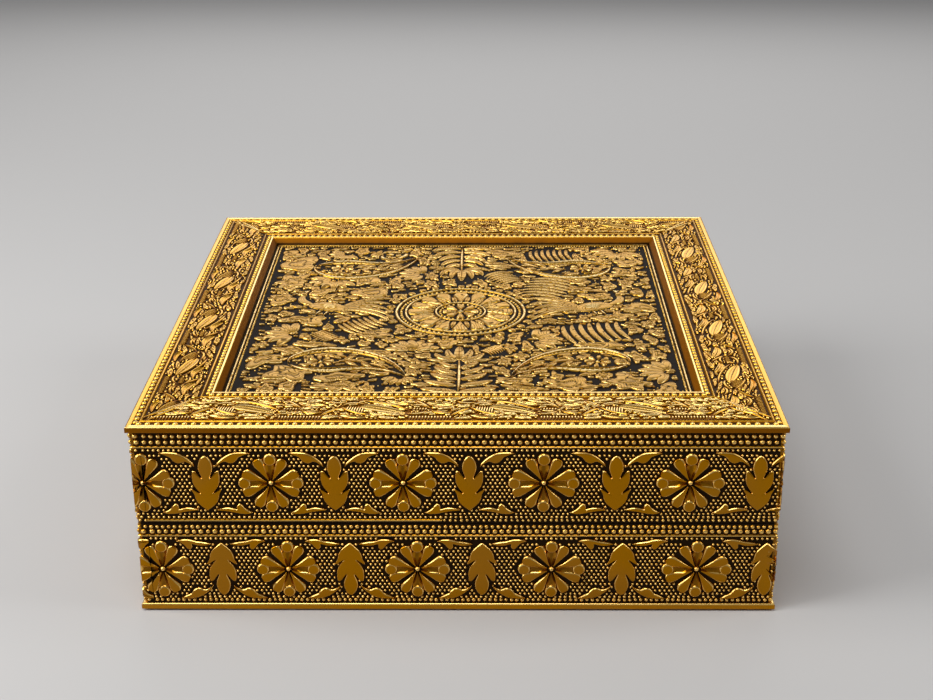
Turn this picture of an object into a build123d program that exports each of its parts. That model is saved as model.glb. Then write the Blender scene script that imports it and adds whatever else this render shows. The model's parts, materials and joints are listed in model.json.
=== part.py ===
"""Hinged dry fruit box: a wooden base and a deep wooden lid, both clad in stamped
antique-gold sheet, lined with velvet-covered card and divided by a half-lapped cross.

The frame: +Z up, the front faces -Y, the origin is on the table under the box's centre.
All sizes are millimetres.
"""

from build123d import *
import os
from math import atan2, cos, degrees, pi, sin

os.makedirs("parts", exist_ok=True)

# Overall plan, measured on the slab that forms the lid's top edge
slab_width = 203.0
slab_depth = 210.0
slab_overhang = 1.2
slab_drop = 1.85
slab_edge_radius = 0.7

# Stack from the table up
felt_thickness = 1.0
base_board_height = 30.15
seam_gap = 0.3
lid_board_height = 30.35
rail_core_thickness = 2.8

# Boards and sheet
sheet_thickness = 0.4
wall_thickness = 7.0
corner_rabbet = 3.5
panel_rabbet = 3.5
floor_board_thickness = 3.0
top_board_thickness = 3.0
glue_gap = 0.05

# Stamped sheet on the four sides
sheet_corner_radius = 0.8
tab_width = 3.0
tab_gap = 0.15
bead_ridge_width = 1.9
bead_ridge_height = 0.8
small_bead_ridge_width = 1.6
small_bead_ridge_height = 0.65
fillet_ridge_width = 0.9
fillet_ridge_height = 0.5

# Distances of the ridges' middles from the edge of the sheet that they follow
lid_first_bead_drop = 1.65
lid_second_bead_drop = 3.75
lid_upper_fillet_drop = 5.4
lid_lower_fillet_rise = 0.9
base_first_bead_drop = 1.4
base_second_bead_drop = 3.0
base_fillet_drop = 4.25
base_foot_bead_rise = 0.95

# Flowers and leaves raised on the bands
flower_radius = 10.3
petal_count = 12
petal_inner_radius = 1.7
petal_half_width = 1.95
petal_height = 0.8
flower_eye_radius = 0.9
flower_eye_height = 0.9
leaf_height = 0.6
leaf_length = 19.4
leaf_half_width = 4.85
lid_motif_rise = 0.5
lid_flower_start = 2.8
lid_flower_gap = 39.6
lid_flower_gap_growth = 1.87
lid_leaf_start = 22.5
lid_leaf_gap = 40.4
lid_leaf_gap_growth = 1.6
base_motif_drop = 0.3
base_flower_start = 6.65
base_flower_gap = 39.6
base_flower_gap_growth = 1.75
base_leaf_start = 25.7
base_leaf_gap = 40.6
base_leaf_gap_growth = 1.65

# Strip round the foot of the base
foot_strip_rise = 0.4
foot_strip_height = 2.2
foot_strip_proud = 1.0
foot_strip_lip = 3.0
foot_strip_radius = 0.6

# Mitred frame on the lid, widths measured from the slab's outer edge to the rim
side_rail_width = 23.3
cross_rail_width = 26.8
rim_slope_run = 1.7
rim_slope_drop = 2.1
side_outer_bead = 2.1
side_outer_fillet = 4.5
side_inner_fillet = 18.4
side_inner_bead = 20.4
rail_bead_radius = 0.9
rail_bead_proud = 0.45
rail_fillet_radius = 0.5
rail_fillet_proud = 0.25

# Stamped panel in the recess
panel_clearance = 0.1
panel_border_width = 1.6
panel_border_height = 0.45
panel_corner_radius = 3.0
panel_relief_height = 0.5
medallion_radius = 24.0
paisley_reach = 47.0
paisley_bulb_radius = 11.0
paisley_tail_length = 27.0
paisley_tail_bend = 7.0
paisley_back = (-5.5, 16.7)
paisley_front = (8.8, 14.0)
paisley_turn = 100.0

# Lining and cross
liner_thickness = 1.2
floor_liner_thickness = 1.5
top_liner_thickness = 2.5
liner_drop = 1.0
liner_gap = 0.1
partition_thickness = 4.0
partition_height = 23.4
partition_gap = 0.1

# Butt hinges let into the back edges of base and lid
hinge_length = 24.0
hinge_end_margin = 28.9
leaf_thickness = 0.8
leaf_reach = 5.5
knuckle_radius = 1.9
knuckle_count = 5
knuckle_gap = 0.2
knuckle_clearance = 0.3
leaf_clearance = 0.1
pin_radius = 0.9
pin_play_fixed = 0.02
pin_play_turning = 0.06
pin_head_radius = 1.5
pin_head_thickness = 0.5
window_margin = 0.5
screw_spread = 14.0
screw_inset = 3.2
screw_shank_radius = 0.75
screw_head_radius = 1.55
screw_length = 6.5
screw_slot_width = 0.4
screw_slot_depth = 0.3
screw_play = 0.05

# Places worked out from the driving dimensions
body_width = slab_width - 2 * slab_overhang
body_depth = slab_depth - 2 * slab_overhang
board_width = body_width - 2 * sheet_thickness
board_depth = body_depth - 2 * sheet_thickness
base_bottom = felt_thickness
base_rim = base_bottom + base_board_height
seam_middle = base_rim + seam_gap / 2
lid_rim = base_rim + seam_gap
lid_board_top = lid_rim + lid_board_height
rail_core_top = lid_board_top + rail_core_thickness
slab_top = rail_core_top + sheet_thickness
slab_bottom = slab_top - slab_drop
foot_strip_top = foot_strip_rise + foot_strip_height
inner_width = board_width - 2 * wall_thickness
inner_depth = board_depth - 2 * wall_thickness
hinge_axis_y = body_depth / 2 + knuckle_clearance + knuckle_radius
hinge_offset = board_width / 2 - hinge_end_margin - hinge_length / 2
hinge_places = (-hinge_offset, hinge_offset)
opening_width = slab_width - 2 * side_rail_width
opening_depth = slab_depth - 2 * cross_rail_width
cross_rail_scale = cross_rail_width / side_rail_width
lid_band = (lid_rim + lid_lower_fillet_rise, slab_bottom - lid_upper_fillet_drop)
base_band = (foot_strip_top + base_foot_bead_rise, base_rim - base_fillet_drop)

SIDES = ("front", "right", "back", "left")


def block(x_range, y_range, z_range):
    """A box between two corners, given as three ranges."""
    sizes = [high - low for low, high in (x_range, y_range, z_range)]
    corner = [low for low, _ in (x_range, y_range, z_range)]
    return Pos(*corner) * Box(*sizes, align=(Align.MIN, Align.MIN, Align.MIN))


def centred(width, depth, z_range):
    """A box of this width and depth centred on the vertical axis."""
    return block((-width / 2, width / 2), (-depth / 2, depth / 2), z_range)


def side_turn(side):
    """The turn about +Z that carries a piece built for the front to another side."""
    return Rot(0, 0, 90 * SIDES.index(side))


def save(name, shape):
    """Writes one node's solids."""
    solids = shape.solids()
    whole = solids[0] if len(solids) == 1 else Compound(children=list(solids))
    export_step(whole, f"parts/{name}.step")


# Boards


def tray_boards(bottom, top, rabbet_low, rabbet_high):
    """The four walls of a tray. The front and back lap over the ends of the sides,
    and all four have a rabbet that holds the tray's flat board."""
    half_width, half_depth = board_width / 2, board_depth / 2
    lap_x = half_width - wall_thickness
    lap_y = half_depth - corner_rabbet
    outer = block((-half_width, half_width), (-half_depth, half_depth), (bottom, top))
    core = centred(inner_width, inner_depth, (bottom, top))
    seat = centred(
        inner_width + 2 * panel_rabbet,
        inner_depth + 2 * panel_rabbet,
        (rabbet_low, rabbet_high),
    )
    walls = outer - core - seat
    ends = centred(2 * half_width, 2 * lap_y, (bottom, top))
    side_space = ends - centred(2 * lap_x, 2 * half_depth, (bottom, top))
    sides = (walls & side_space).solids().sort_by(Axis.X)
    cross = (walls - side_space).solids().sort_by(Axis.Y)
    return {"front": cross[0], "back": cross[-1], "left": sides[0], "right": sides[-1]}


def rabbet_board(low, high):
    """The flat board that sits in the rabbet of a tray."""
    reach = 2 * (panel_rabbet - glue_gap)
    return centred(inner_width + reach, inner_depth + reach, (low, high))


def mortises(low, high):
    """Pockets in a back board's edge for the two hinge leaves."""
    outer = board_depth / 2
    reach = outer - leaf_reach - leaf_clearance
    half = hinge_length / 2 + leaf_clearance
    cuts = [block((x - half, x + half), (reach, outer + 1), (low, high)) for x in hinge_places]
    return cuts[0] + cuts[1]


# Stamped sheets


def ridge(middle, width, height):
    """A rib that runs round all four sides, with sloping flanks that meet at its crest."""
    slope = degrees(atan2(height, width / 2))
    crest = RectangleRounded(
        body_width + 2 * height, body_depth + 2 * height, sheet_corner_radius + height
    )
    upper = extrude(Pos(0, 0, middle) * crest, width / 2, taper=slope)
    lower = Pos(0, 0, 2 * middle) * Rot(180, 0, 0) * upper
    return upper + lower


def arcs_face(steps):
    """A flat face inside a closed run of steps. A step is a start, a point on the way and
    an end, joined by an arc, or by a straight line where the point on the way is None."""
    edges = []
    for start, middle, end in steps:
        edges.append(Line(start, end) if middle is None else ThreePointArc(start, middle, end))
    return make_face(Wire(edges))


def petal_outline(inner, outer, half_width):
    """A teardrop from its tip, at the inner distance, to its round end, at the outer one."""
    shoulder = outer - half_width
    return arcs_face([
        ((inner, 0), None, (shoulder, half_width)),
        ((shoulder, half_width), (outer, 0), (shoulder, -half_width)),
        ((shoulder, -half_width), None, (inner, 0)),
    ])


def flower():
    """The solids of a round flower, standing out of the front towards -Y."""
    outline = petal_outline(petal_inner_radius, flower_radius, petal_half_width)
    petal = extrude(outline, petal_height)
    turns = [Rot(0, 0, 360 * index / petal_count) for index in range(petal_count)]
    eye = Cylinder(flower_eye_radius, flower_eye_height, align=(Align.CENTER, Align.CENTER, Align.MIN))
    return [Rot(90, 0, 0) * turn * petal for turn in turns] + [Rot(90, 0, 0) * eye]


def lobed_leaf():
    """A leaf with a bud above two pairs of upswept lobes, its middle at the origin, standing
    out towards -Y. The right half of its outline is listed from the bud's tip to the foot, in
    shares of the half width and of the half length."""
    half = [
        ((0, 1), (0.52, 0.58), (0.33, 0.22)),
        ((0.33, 0.22), None, (0.86, 0.45)),
        ((0.86, 0.45), (0.92, 0.16), (0.46, -0.35)),
        ((0.46, -0.35), None, (1, -0.18)),
        ((1, -0.18), (0.74, -0.58), (0, -1)),
    ]
    size = (leaf_half_width, leaf_length / 2)
    right = [[point and (point[0] * size[0], point[1] * size[1]) for point in step] for step in half]
    left = [[point and (-point[0], point[1]) for point in reversed(step)] for step in reversed(right)]
    return [Rot(90, 0, 0) * extrude(arcs_face(right + left), leaf_height)]


def places(length, start, gap, growth):
    """Where motifs sit along a side: the gap from each to the next grows by a steady step."""
    found, x = [], start - length / 2
    while x < length / 2:
        found.append(x)
        x += gap
        gap += growth
    return found


def lid_motifs(length):
    """Flowers and leaves of one side of the lid, raised from the plane y = 0."""
    middle = (lid_band[0] + lid_band[1]) / 2 + lid_motif_rise
    bloom, leaf = flower(), lobed_leaf()
    found = []
    for x in places(length, lid_flower_start, lid_flower_gap, lid_flower_gap_growth):
        found += [Pos(x, 0, middle) * solid for solid in bloom]
    for x in places(length, lid_leaf_start, lid_leaf_gap, lid_leaf_gap_growth):
        found += [Pos(x, 0, middle) * solid for solid in leaf]
    return found


def base_motifs(length):
    """Flowers and upturned leaves of one side of the base, raised from the plane y = 0."""
    middle = (base_band[0] + base_band[1]) / 2 - base_motif_drop
    bloom, leaf = flower(), [mirror(solid, Plane.XY) for solid in lobed_leaf()]
    found = []
    for x in places(length, base_flower_start, base_flower_gap, base_flower_gap_growth):
        found += [Pos(x, 0, middle) * solid for solid in bloom]
    for x in places(length, base_leaf_start, base_leaf_gap, base_leaf_gap_growth):
        found += [Pos(x, 0, middle) * solid for solid in leaf]
    return found


def hinge_windows():
    """The gaps in the back sheets' edges that leave the hinge barrels free."""
    half = hinge_length / 2 + pin_head_thickness + window_margin
    low = seam_middle - knuckle_radius - window_margin
    high = seam_middle + knuckle_radius + window_margin
    y_range = (board_depth / 2, board_depth)
    return [block((x - half, x + half), y_range, (low, high)) for x in hinge_places]


def side_sheets(low, high, ridges, motifs_of):
    """Four stamped sheets round the lid or base. Each one starts short of its left corner,
    seen from outside, and turns its right corner to meet the next sheet on that side."""
    plan = RectangleRounded(body_width, body_depth, sheet_corner_radius)
    shell = extrude(Pos(0, 0, low) * plan, high - low)
    shell = shell.fuse(*[ridge(*values) for values in ridges])
    shell -= centred(board_width, board_depth, (low - 1, high + 1))
    proud = flower_eye_height + petal_height
    sheets = {}
    for side in SIDES:
        across, along = (body_width, body_depth) if side in ("front", "back") else (body_depth, body_width)
        start, corner, face = tab_width + tab_gap - across / 2, across / 2, -along / 2
        span = block((start, corner + proud), (face - proud, face + tab_width), (low, high))
        flat = block((start, corner - sheet_corner_radius), (face - proud, face), (low, high))
        raised = [flat & (Pos(0, face, 0) * motif) for motif in motifs_of(across)]
        raised = [piece for piece in raised if piece is not None and piece.volume > 0]
        sheets[side] = (shell & (side_turn(side) * span)).fuse(*[side_turn(side) * piece for piece in raised])
    sheets["back"] = sheets["back"].cut(*hinge_windows())
    return sheets


def foot_strips():
    """The rounded strip round the foot, mitred at the corners, with a lip under the boards."""
    proud = sheet_thickness + foot_strip_proud
    profile = Polyline(
        (foot_strip_lip, foot_strip_rise),
        (-proud, foot_strip_rise),
        (-proud, foot_strip_top),
        (0, foot_strip_top),
        (0, base_bottom),
        (foot_strip_lip, base_bottom),
        close=True,
    )
    section = make_face(profile)
    rounded = section.vertices().group_by(Axis.X)[0]
    section = fillet(rounded, foot_strip_radius)
    return {side: mitred_bar(section, side, board_width, board_depth) for side in SIDES}


def mitred_bar(section, side, width, depth):
    """A section, given as distance in from a rectangle's edge and height, run along one side
    of the rectangle and cut to meet its neighbours on lines through the rectangle's corners."""
    across = width if side in ("front", "back") else depth
    away = depth / 2 if side in ("front", "back") else width / 2
    bar = extrude(Plane.YZ * section, across, both=True)
    bar = side_turn(side) * Pos(0, -away, 0) * bar
    box = bar.bounding_box()
    return bar & corner_wedge(side, width, depth, box.min.Z - 1, box.max.Z + 1)


def corner_wedge(side, width, depth, low, high):
    """The space on one side of a rectangle, bounded by 45 degree planes at its corners."""
    half_x, half_y = width / 2, depth / 2
    inset = min(half_x, half_y)
    grow = inset
    corners = {
        "front": [(-half_x - grow, -half_y - grow), (half_x + grow, -half_y - grow),
                  (half_x - inset, -half_y + inset), (-half_x + inset, -half_y + inset)],
        "back": [(half_x + grow, half_y + grow), (-half_x - grow, half_y + grow),
                 (-half_x + inset, half_y - inset), (half_x - inset, half_y - inset)],
        "left": [(-half_x - grow, half_y + grow), (-half_x - grow, -half_y - grow),
                 (-half_x + inset, -half_y + inset), (-half_x + inset, half_y - inset)],
        "right": [(half_x + grow, -half_y - grow), (half_x + grow, half_y + grow),
                  (half_x - inset, half_y - inset), (half_x - inset, -half_y + inset)],
    }[side]
    kept = []
    for point in corners:
        if point not in kept:
            kept.append(point)
    return extrude(Pos(0, 0, low) * make_face(Polyline(*kept, close=True)), high - low)


# Frame on the lid


def rail_skin_section(stretch):
    """Section of a rail's stamped skin: edge, top with two bead rows and two fillets, slope."""
    width = side_rail_width * stretch
    foot = width + rim_slope_run
    skin = sheet_thickness
    slope_foot = slab_top - rim_slope_drop
    outer = Polyline(
        (0, slab_bottom), (0, slab_top), (width, slab_top), (foot, slope_foot),
        (foot, lid_board_top), (foot - skin, lid_board_top), (foot - skin, slope_foot - skin / 2),
        (width - skin / 2, rail_core_top), (skin, rail_core_top), (skin, slab_bottom), close=True,
    )
    section = make_face(outer)
    corner = [v for v in section.vertices() if abs(v.X) < skin / 2 and v.Y > slab_top - skin / 2]
    section = fillet(corner, slab_edge_radius / 2)
    rows = ((side_outer_bead, rail_bead_radius, rail_bead_proud),
            (side_outer_fillet, rail_fillet_radius, rail_fillet_proud),
            (side_inner_fillet, rail_fillet_radius, rail_fillet_proud),
            (side_inner_bead, rail_bead_radius, rail_bead_proud))
    above = Pos(width / 2, slab_top + rail_bead_radius) * Rectangle(2 * width, 2 * rail_bead_radius)
    for distance, radius, proud in rows:
        row = Pos(distance * stretch, slab_top + proud - radius) * Circle(radius)
        section += row & above
    return section


def rail_core_section(stretch):
    """Section of a rail's wooden core, stepped to sit on the boards and over the side sheets."""
    width = side_rail_width * stretch
    foot = width + rim_slope_run - sheet_thickness
    ledge = slab_overhang + sheet_thickness
    slope_foot = slab_top - rim_slope_drop - sheet_thickness / 2
    return make_face(Polyline(
        (sheet_thickness, slab_bottom), (sheet_thickness, rail_core_top),
        (width - sheet_thickness / 2, rail_core_top), (foot, slope_foot), (foot, lid_board_top),
        (ledge, lid_board_top), (ledge, slab_bottom), close=True,
    ))


def frame_rails(section_of):
    """Four rails whose mitres run from the slab's outer corners to the rim's corners."""
    rails = {}
    for side in SIDES:
        is_cross = side in ("front", "back")
        across, away = (slab_width, slab_depth / 2) if is_cross else (slab_depth, slab_width / 2)
        section = section_of(cross_rail_scale if is_cross else 1.0)
        bar = extrude(Plane.YZ * section, across / 2, both=True)
        bar = side_turn(side) * Pos(0, -away, 0) * bar
        rails[side] = bar & frame_wedge(side)
    return rails


def sheet_tops():
    """The space under the slab's overhang that the tops of the lid's sheets take up."""
    outer = centred(slab_width, slab_depth, (lid_board_top, slab_bottom))
    return outer - centred(board_width, board_depth, (lid_board_top, slab_bottom))


def frame_wedge(side):
    """The space of one rail, bounded by planes through the slab's and the rim's corners. It
    starts one rail's width outside the slab and ends past the foot of the slope."""
    outside = -1
    inside = 1 + 2 * rim_slope_run / side_rail_width

    def along(sign_x, sign_y, steps):
        return (sign_x * (slab_width / 2 - side_rail_width * steps),
                sign_y * (slab_depth / 2 - cross_rail_width * steps))

    ends = {"front": ((-1, -1), (1, -1)), "back": ((1, 1), (-1, 1)),
            "left": ((-1, 1), (-1, -1)), "right": ((1, -1), (1, 1))}[side]
    points = [along(*ends[0], outside), along(*ends[1], outside),
              along(*ends[1], inside), along(*ends[0], inside)]
    low, high = lid_board_top - 1, slab_top + 1
    return extrude(Pos(0, 0, low) * make_face(Polyline(*points, close=True)), high - low)


def paisley():
    """A mango shape: a round bulb at the origin with a tail that bends as it narrows."""
    bulb, length, bend = paisley_bulb_radius, paisley_tail_length, paisley_tail_bend
    tip = (bend + bulb, length)
    return arcs_face([
        ((bulb, 0), (0, -bulb), (-bulb, 0)),
        ((-bulb, 0), paisley_back, tip),
        (tip, paisley_front, (bulb, 0)),
    ])


def relief_panel():
    """The stamped panel: a flat sheet with a raised border, a round middle and four paisleys."""
    reach = 2 * (rim_slope_run + panel_clearance)
    width, depth = opening_width - reach, opening_depth - reach
    top = lid_board_top + sheet_thickness
    sheet = centred(width, depth, (lid_board_top, top))
    rim = centred(width, depth, (top, top + panel_border_height))
    inside = RectangleRounded(
        width - 2 * panel_border_width, depth - 2 * panel_border_width, panel_corner_radius
    )
    rim -= extrude(Pos(0, 0, top) * inside, panel_border_height)
    raised = [rim, extrude(Pos(0, 0, top) * Circle(medallion_radius), panel_relief_height)]
    mango = extrude(Pos(paisley_reach, paisley_reach, top) * Rot(0, 0, paisley_turn) * paisley(), panel_relief_height)
    for upper in (mango, mirror(mango, Plane.YZ)):
        raised += [upper, mirror(upper, Plane.XZ)]
    return sheet.fuse(*raised)


# Lining and cross


def wall_liners(low, high):
    """Velvet-covered cards on the inside of a tray's four walls."""
    outer = centred(inner_width, inner_depth, (low, high))
    ring = outer - centred(
        inner_width - 2 * liner_thickness, inner_depth - 2 * liner_thickness, (low, high)
    )
    side_space = centred(inner_width, inner_depth - 2 * liner_thickness, (low, high))
    across = ring - side_space
    sides = ring & side_space
    cross = across.solids().sort_by(Axis.Y)
    pair = sides.solids().sort_by(Axis.X)
    return {"front": cross[0], "back": cross[-1], "left": pair[0], "right": pair[-1]}


def flat_liner(low, high):
    """The card that lies between the wall liners of a tray."""
    reach = 2 * (liner_thickness + liner_gap)
    return centred(inner_width - reach, inner_depth - reach, (low, high))


def cross_boards(low):
    """Two boards that cross at the middle, each notched over half its height."""
    high = low + partition_height
    reach = 2 * (liner_thickness + liner_gap)
    long_board = centred(inner_width - reach, partition_thickness, (low, high))
    short_board = centred(partition_thickness, inner_depth - reach, (low, high))
    notch = partition_thickness + 2 * partition_gap
    middle = (low + high) / 2
    long_board -= centred(notch, notch, (middle - partition_gap / 2, high))
    short_board -= centred(notch, notch, (low, middle + partition_gap / 2))
    return long_board, short_board


# Hinges


def knuckle_spans(owner):
    """Lengths along X of the knuckles that belong to the base leaf (0) or the lid leaf (1)."""
    step = hinge_length / knuckle_count
    spans = []
    for index in range(owner, knuckle_count, 2):
        start = -hinge_length / 2 + index * step
        low = start if index == 0 else start + knuckle_gap / 2
        high = start + step if index == knuckle_count - 1 else start + step - knuckle_gap / 2
        spans.append((low, high))
    return spans


def rod(radius, span):
    """A round bar along X over a span."""
    low, high = span
    return Pos((low + high) / 2, 0, 0) * Rot(0, 90, 0) * Cylinder(radius, high - low)


def hinge_leaf(owner, play):
    """One leaf about its pin's axis. The base's leaf hangs just under the seam's middle, and
    the lid's leaf is the same plate above it."""
    side = -1 if owner == 0 else 1
    near, far = side * seam_gap / 2, side * (seam_gap / 2 + leaf_thickness)
    z_range = (min(near, far), max(near, far))
    back = knuckle_radius + knuckle_clearance + sheet_thickness + leaf_reach
    plate_edge = -(knuckle_radius + knuckle_gap)
    leaf = block((-hinge_length / 2, hinge_length / 2), (-back, plate_edge), z_range)
    bore_edge = -(pin_radius + play)
    for span in knuckle_spans(owner):
        leaf += rod(knuckle_radius, span)
        leaf += block(span, (plate_edge, bore_edge), z_range)
    leaf -= rod(pin_radius + play, (-hinge_length, hinge_length))
    hole_y = -(back - leaf_reach + screw_inset)
    for x in (-screw_spread / 2, screw_spread / 2):
        leaf -= Pos(x, hole_y, 0) * leaf_hole(side)
    return leaf


def countersink(side, play):
    """The cone of a screw head, flush with the face of the leaf that looks at the seam."""
    face = side * seam_gap / 2
    wide, narrow = screw_head_radius + play, screw_shank_radius + play
    cone = Cone(wide, narrow, leaf_thickness) if side > 0 else Cone(narrow, wide, leaf_thickness)
    return Pos(0, 0, face + side * leaf_thickness / 2) * cone


def leaf_hole(side):
    """A countersunk hole for one screw."""
    return countersink(side, screw_play)


def screw(side, play=0.0):
    """A countersunk wood screw, its slot cut across the head."""
    face = side * seam_gap / 2
    shank = Cylinder(screw_shank_radius + play, screw_length - leaf_thickness)
    shank = Pos(0, 0, face + side * (screw_length + leaf_thickness) / 2) * shank
    whole = countersink(side, play) + shank
    if play == 0:
        whole -= Pos(0, 0, face) * Box(2 * screw_head_radius, screw_slot_width, 2 * screw_slot_depth)
    return whole


def hinge_pin():
    """The pin, with a thin head outside each end knuckle."""
    half = hinge_length / 2
    pin = rod(pin_radius, (-half - pin_head_thickness, half + pin_head_thickness))
    for end in (-1, 1):
        span = sorted((end * half, end * (half + pin_head_thickness)))
        pin += rod(pin_head_radius, span)
    return pin


def at_hinge(x):
    """Where a hinge's axis crosses its own middle."""
    return Pos(x, hinge_axis_y, seam_middle)


def screw_set(side, play=0.0):
    """All screws of the base (-1) or the lid (1), as separate solids."""
    screw_y = board_depth / 2 - screw_inset
    spots = [x + off for x in hinge_places for off in (-screw_spread / 2, screw_spread / 2)]
    return [Pos(x, screw_y, seam_middle) * screw(side, play) for x in spots]


# Base

floor_top = base_bottom + floor_board_thickness
base_boards = tray_boards(base_bottom, base_rim, base_bottom, floor_top)
base_boards["back"] -= mortises(base_rim - leaf_thickness, base_rim)
for hole in screw_set(-1, screw_play):
    base_boards["back"] -= hole
for name, board in base_boards.items():
    save(f"base_{name}_board", board)
save("base_floor_board", rabbet_board(base_bottom, floor_top))

felt_reach = 2 * (foot_strip_lip + glue_gap)
felt = centred(board_width - felt_reach, board_depth - felt_reach, (0, felt_thickness))
save("base_underside_felt", felt)

base_ridges = (
    (base_rim - base_first_bead_drop, bead_ridge_width, bead_ridge_height),
    (base_rim - base_second_bead_drop, small_bead_ridge_width, small_bead_ridge_height),
    (base_rim - base_fillet_drop, fillet_ridge_width, fillet_ridge_height),
    (foot_strip_top + base_foot_bead_rise, small_bead_ridge_width, small_bead_ridge_height),
)
for name, sheet in side_sheets(foot_strip_top, base_rim, base_ridges, base_motifs).items():
    save(f"base_{name}_sheet", sheet)
for name, strip in foot_strips().items():
    save(f"base_{name}_foot_strip", strip)

for name, liner in wall_liners(floor_top, base_rim - liner_drop).items():
    save(f"base_{name}_liner", liner)
floor_liner_top = floor_top + floor_liner_thickness
save("base_floor_liner", flat_liner(floor_top, floor_liner_top))
long_partition, short_partition = cross_boards(floor_liner_top)
save("long_partition", long_partition)
save("short_partition", short_partition)

# Lid

top_board_bottom = lid_board_top - top_board_thickness
lid_boards = tray_boards(lid_rim, lid_board_top, top_board_bottom, lid_board_top)
lid_boards["back"] -= mortises(lid_rim, lid_rim + leaf_thickness)
for hole in screw_set(1, screw_play):
    lid_boards["back"] -= hole
for name, board in lid_boards.items():
    save(f"lid_{name}_board", board)
save("lid_top_board", rabbet_board(top_board_bottom, lid_board_top))

lid_ridges = (
    (slab_bottom - lid_first_bead_drop, bead_ridge_width, bead_ridge_height),
    (slab_bottom - lid_second_bead_drop, small_bead_ridge_width, small_bead_ridge_height),
    (slab_bottom - lid_upper_fillet_drop, fillet_ridge_width, fillet_ridge_height),
    (lid_rim + lid_lower_fillet_rise, fillet_ridge_width, fillet_ridge_height),
)
for name, sheet in side_sheets(lid_rim, slab_bottom, lid_ridges, lid_motifs).items():
    save(f"lid_{name}_sheet", sheet)
for name, rail in frame_rails(rail_core_section).items():
    save(f"lid_{name}_rail", rail - sheet_tops())
for name, rail in frame_rails(rail_skin_section).items():
    save(f"lid_{name}_rail_sheet", rail)
save("lid_relief_panel", relief_panel())

for name, liner in wall_liners(lid_rim + liner_drop, top_board_bottom).items():
    save(f"lid_{name}_liner", liner)
save("lid_top_liner", flat_liner(top_board_bottom - top_liner_thickness, top_board_bottom))

# Hinges

base_leaf, lid_leaf = hinge_leaf(0, pin_play_fixed), hinge_leaf(1, pin_play_turning)
for name, x in zip(("left", "right"), hinge_places):
    save(f"{name}_hinge_base_leaf", at_hinge(x) * base_leaf)
    save(f"{name}_hinge_lid_leaf", at_hinge(x) * lid_leaf)
    save(f"{name}_hinge_pin", at_hinge(x) * hinge_pin())
save("base_hinge_screws", Compound(children=screw_set(-1)))
save("lid_hinge_screws", Compound(children=screw_set(1)))

print("slab top", slab_top, "seam", seam_middle, "hinge axis y", hinge_axis_y)
print("compartment", (inner_width - 2 * liner_thickness - partition_thickness) / 2,
      (inner_depth - 2 * liner_thickness - partition_thickness) / 2,
      "from", floor_liner_top, "to", floor_liner_top + partition_height)
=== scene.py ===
# %% [markdown]
# # A dry fruit box in stamped antique-gold sheet
# The box is wood inside, and what shows is thin gold-tone sheet that was stamped from behind:
# beads, flowers, leaves and scrolls stand out of a dark, granulated ground. The solids of the
# boards, lining, hinges and foot come ready from the frame. This file makes the stamped sheets
# and gives every piece its finish. The frame comes first, because each piece rides on one of
# its bodies: the base, or the lid.

# %% Load the fixed frame
import json
from math import cos, pi, radians, sin, tau

import bpy
import numpy as np
from mathutils import Matrix, Vector


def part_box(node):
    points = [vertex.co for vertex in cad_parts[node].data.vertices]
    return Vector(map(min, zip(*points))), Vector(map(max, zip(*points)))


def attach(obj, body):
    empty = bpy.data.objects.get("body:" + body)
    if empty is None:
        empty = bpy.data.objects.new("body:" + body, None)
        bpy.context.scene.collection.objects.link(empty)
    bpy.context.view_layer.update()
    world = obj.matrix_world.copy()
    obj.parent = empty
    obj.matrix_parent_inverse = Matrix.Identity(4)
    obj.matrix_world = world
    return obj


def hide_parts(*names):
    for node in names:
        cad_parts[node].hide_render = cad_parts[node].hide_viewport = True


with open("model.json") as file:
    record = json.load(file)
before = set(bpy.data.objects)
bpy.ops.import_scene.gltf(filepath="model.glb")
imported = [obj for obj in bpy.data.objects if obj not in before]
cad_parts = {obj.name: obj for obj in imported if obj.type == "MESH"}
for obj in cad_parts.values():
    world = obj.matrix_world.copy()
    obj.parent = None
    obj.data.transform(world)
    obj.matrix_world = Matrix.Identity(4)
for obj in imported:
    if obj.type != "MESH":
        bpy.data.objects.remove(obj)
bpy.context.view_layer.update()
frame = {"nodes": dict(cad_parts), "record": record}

# %% [markdown]
# ## The camera
# A photograph's viewpoint can be worked out from the corners of a box that it shows. Here the
# lens sees the box from the front and well above, almost square on, so that the verticals lean
# inwards towards the foot. The picture's middle is the lens's middle, so no shift is needed.

# %% Camera
FOCAL_PX = 1574.2
PHOTO_WIDTH_PX = 933
SENSOR_MM = 36.0
CAMERA_PLACE = (0.00754, -0.53862, 0.27056)
pitch, yaw, roll = radians(22.541), radians(-0.577), radians(-0.255)
ahead = Vector((sin(yaw) * cos(pitch), cos(yaw) * cos(pitch), -sin(pitch)))
level = Vector((cos(yaw), -sin(yaw), 0))
raised = level.cross(ahead)
right = level * cos(roll) + raised * sin(roll)
upward = raised * cos(roll) - level * sin(roll)

camera = bpy.data.objects.new("camera", bpy.data.cameras.new("camera"))
bpy.context.scene.collection.objects.link(camera)
camera.data.sensor_width = SENSOR_MM
camera.data.lens = FOCAL_PX * SENSOR_MM / PHOTO_WIDTH_PX
camera.matrix_world = Matrix.Translation(CAMERA_PLACE) @ Matrix((right, upward, -ahead)).transposed().to_4x4()
bpy.context.scene.camera = camera
bpy.context.scene.view_settings.view_transform = "Standard"
print("lens", round(camera.data.lens, 2), "mm")

# %% [markdown]
# ## Light
# Polished relief needs something to mirror. One strong lamp would give hard glints only, and an
# even sky would leave the metal flat, so a few soft panels of light stand round the box: each
# gives a bead one small bright spot and leaves its flanks dark.

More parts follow.
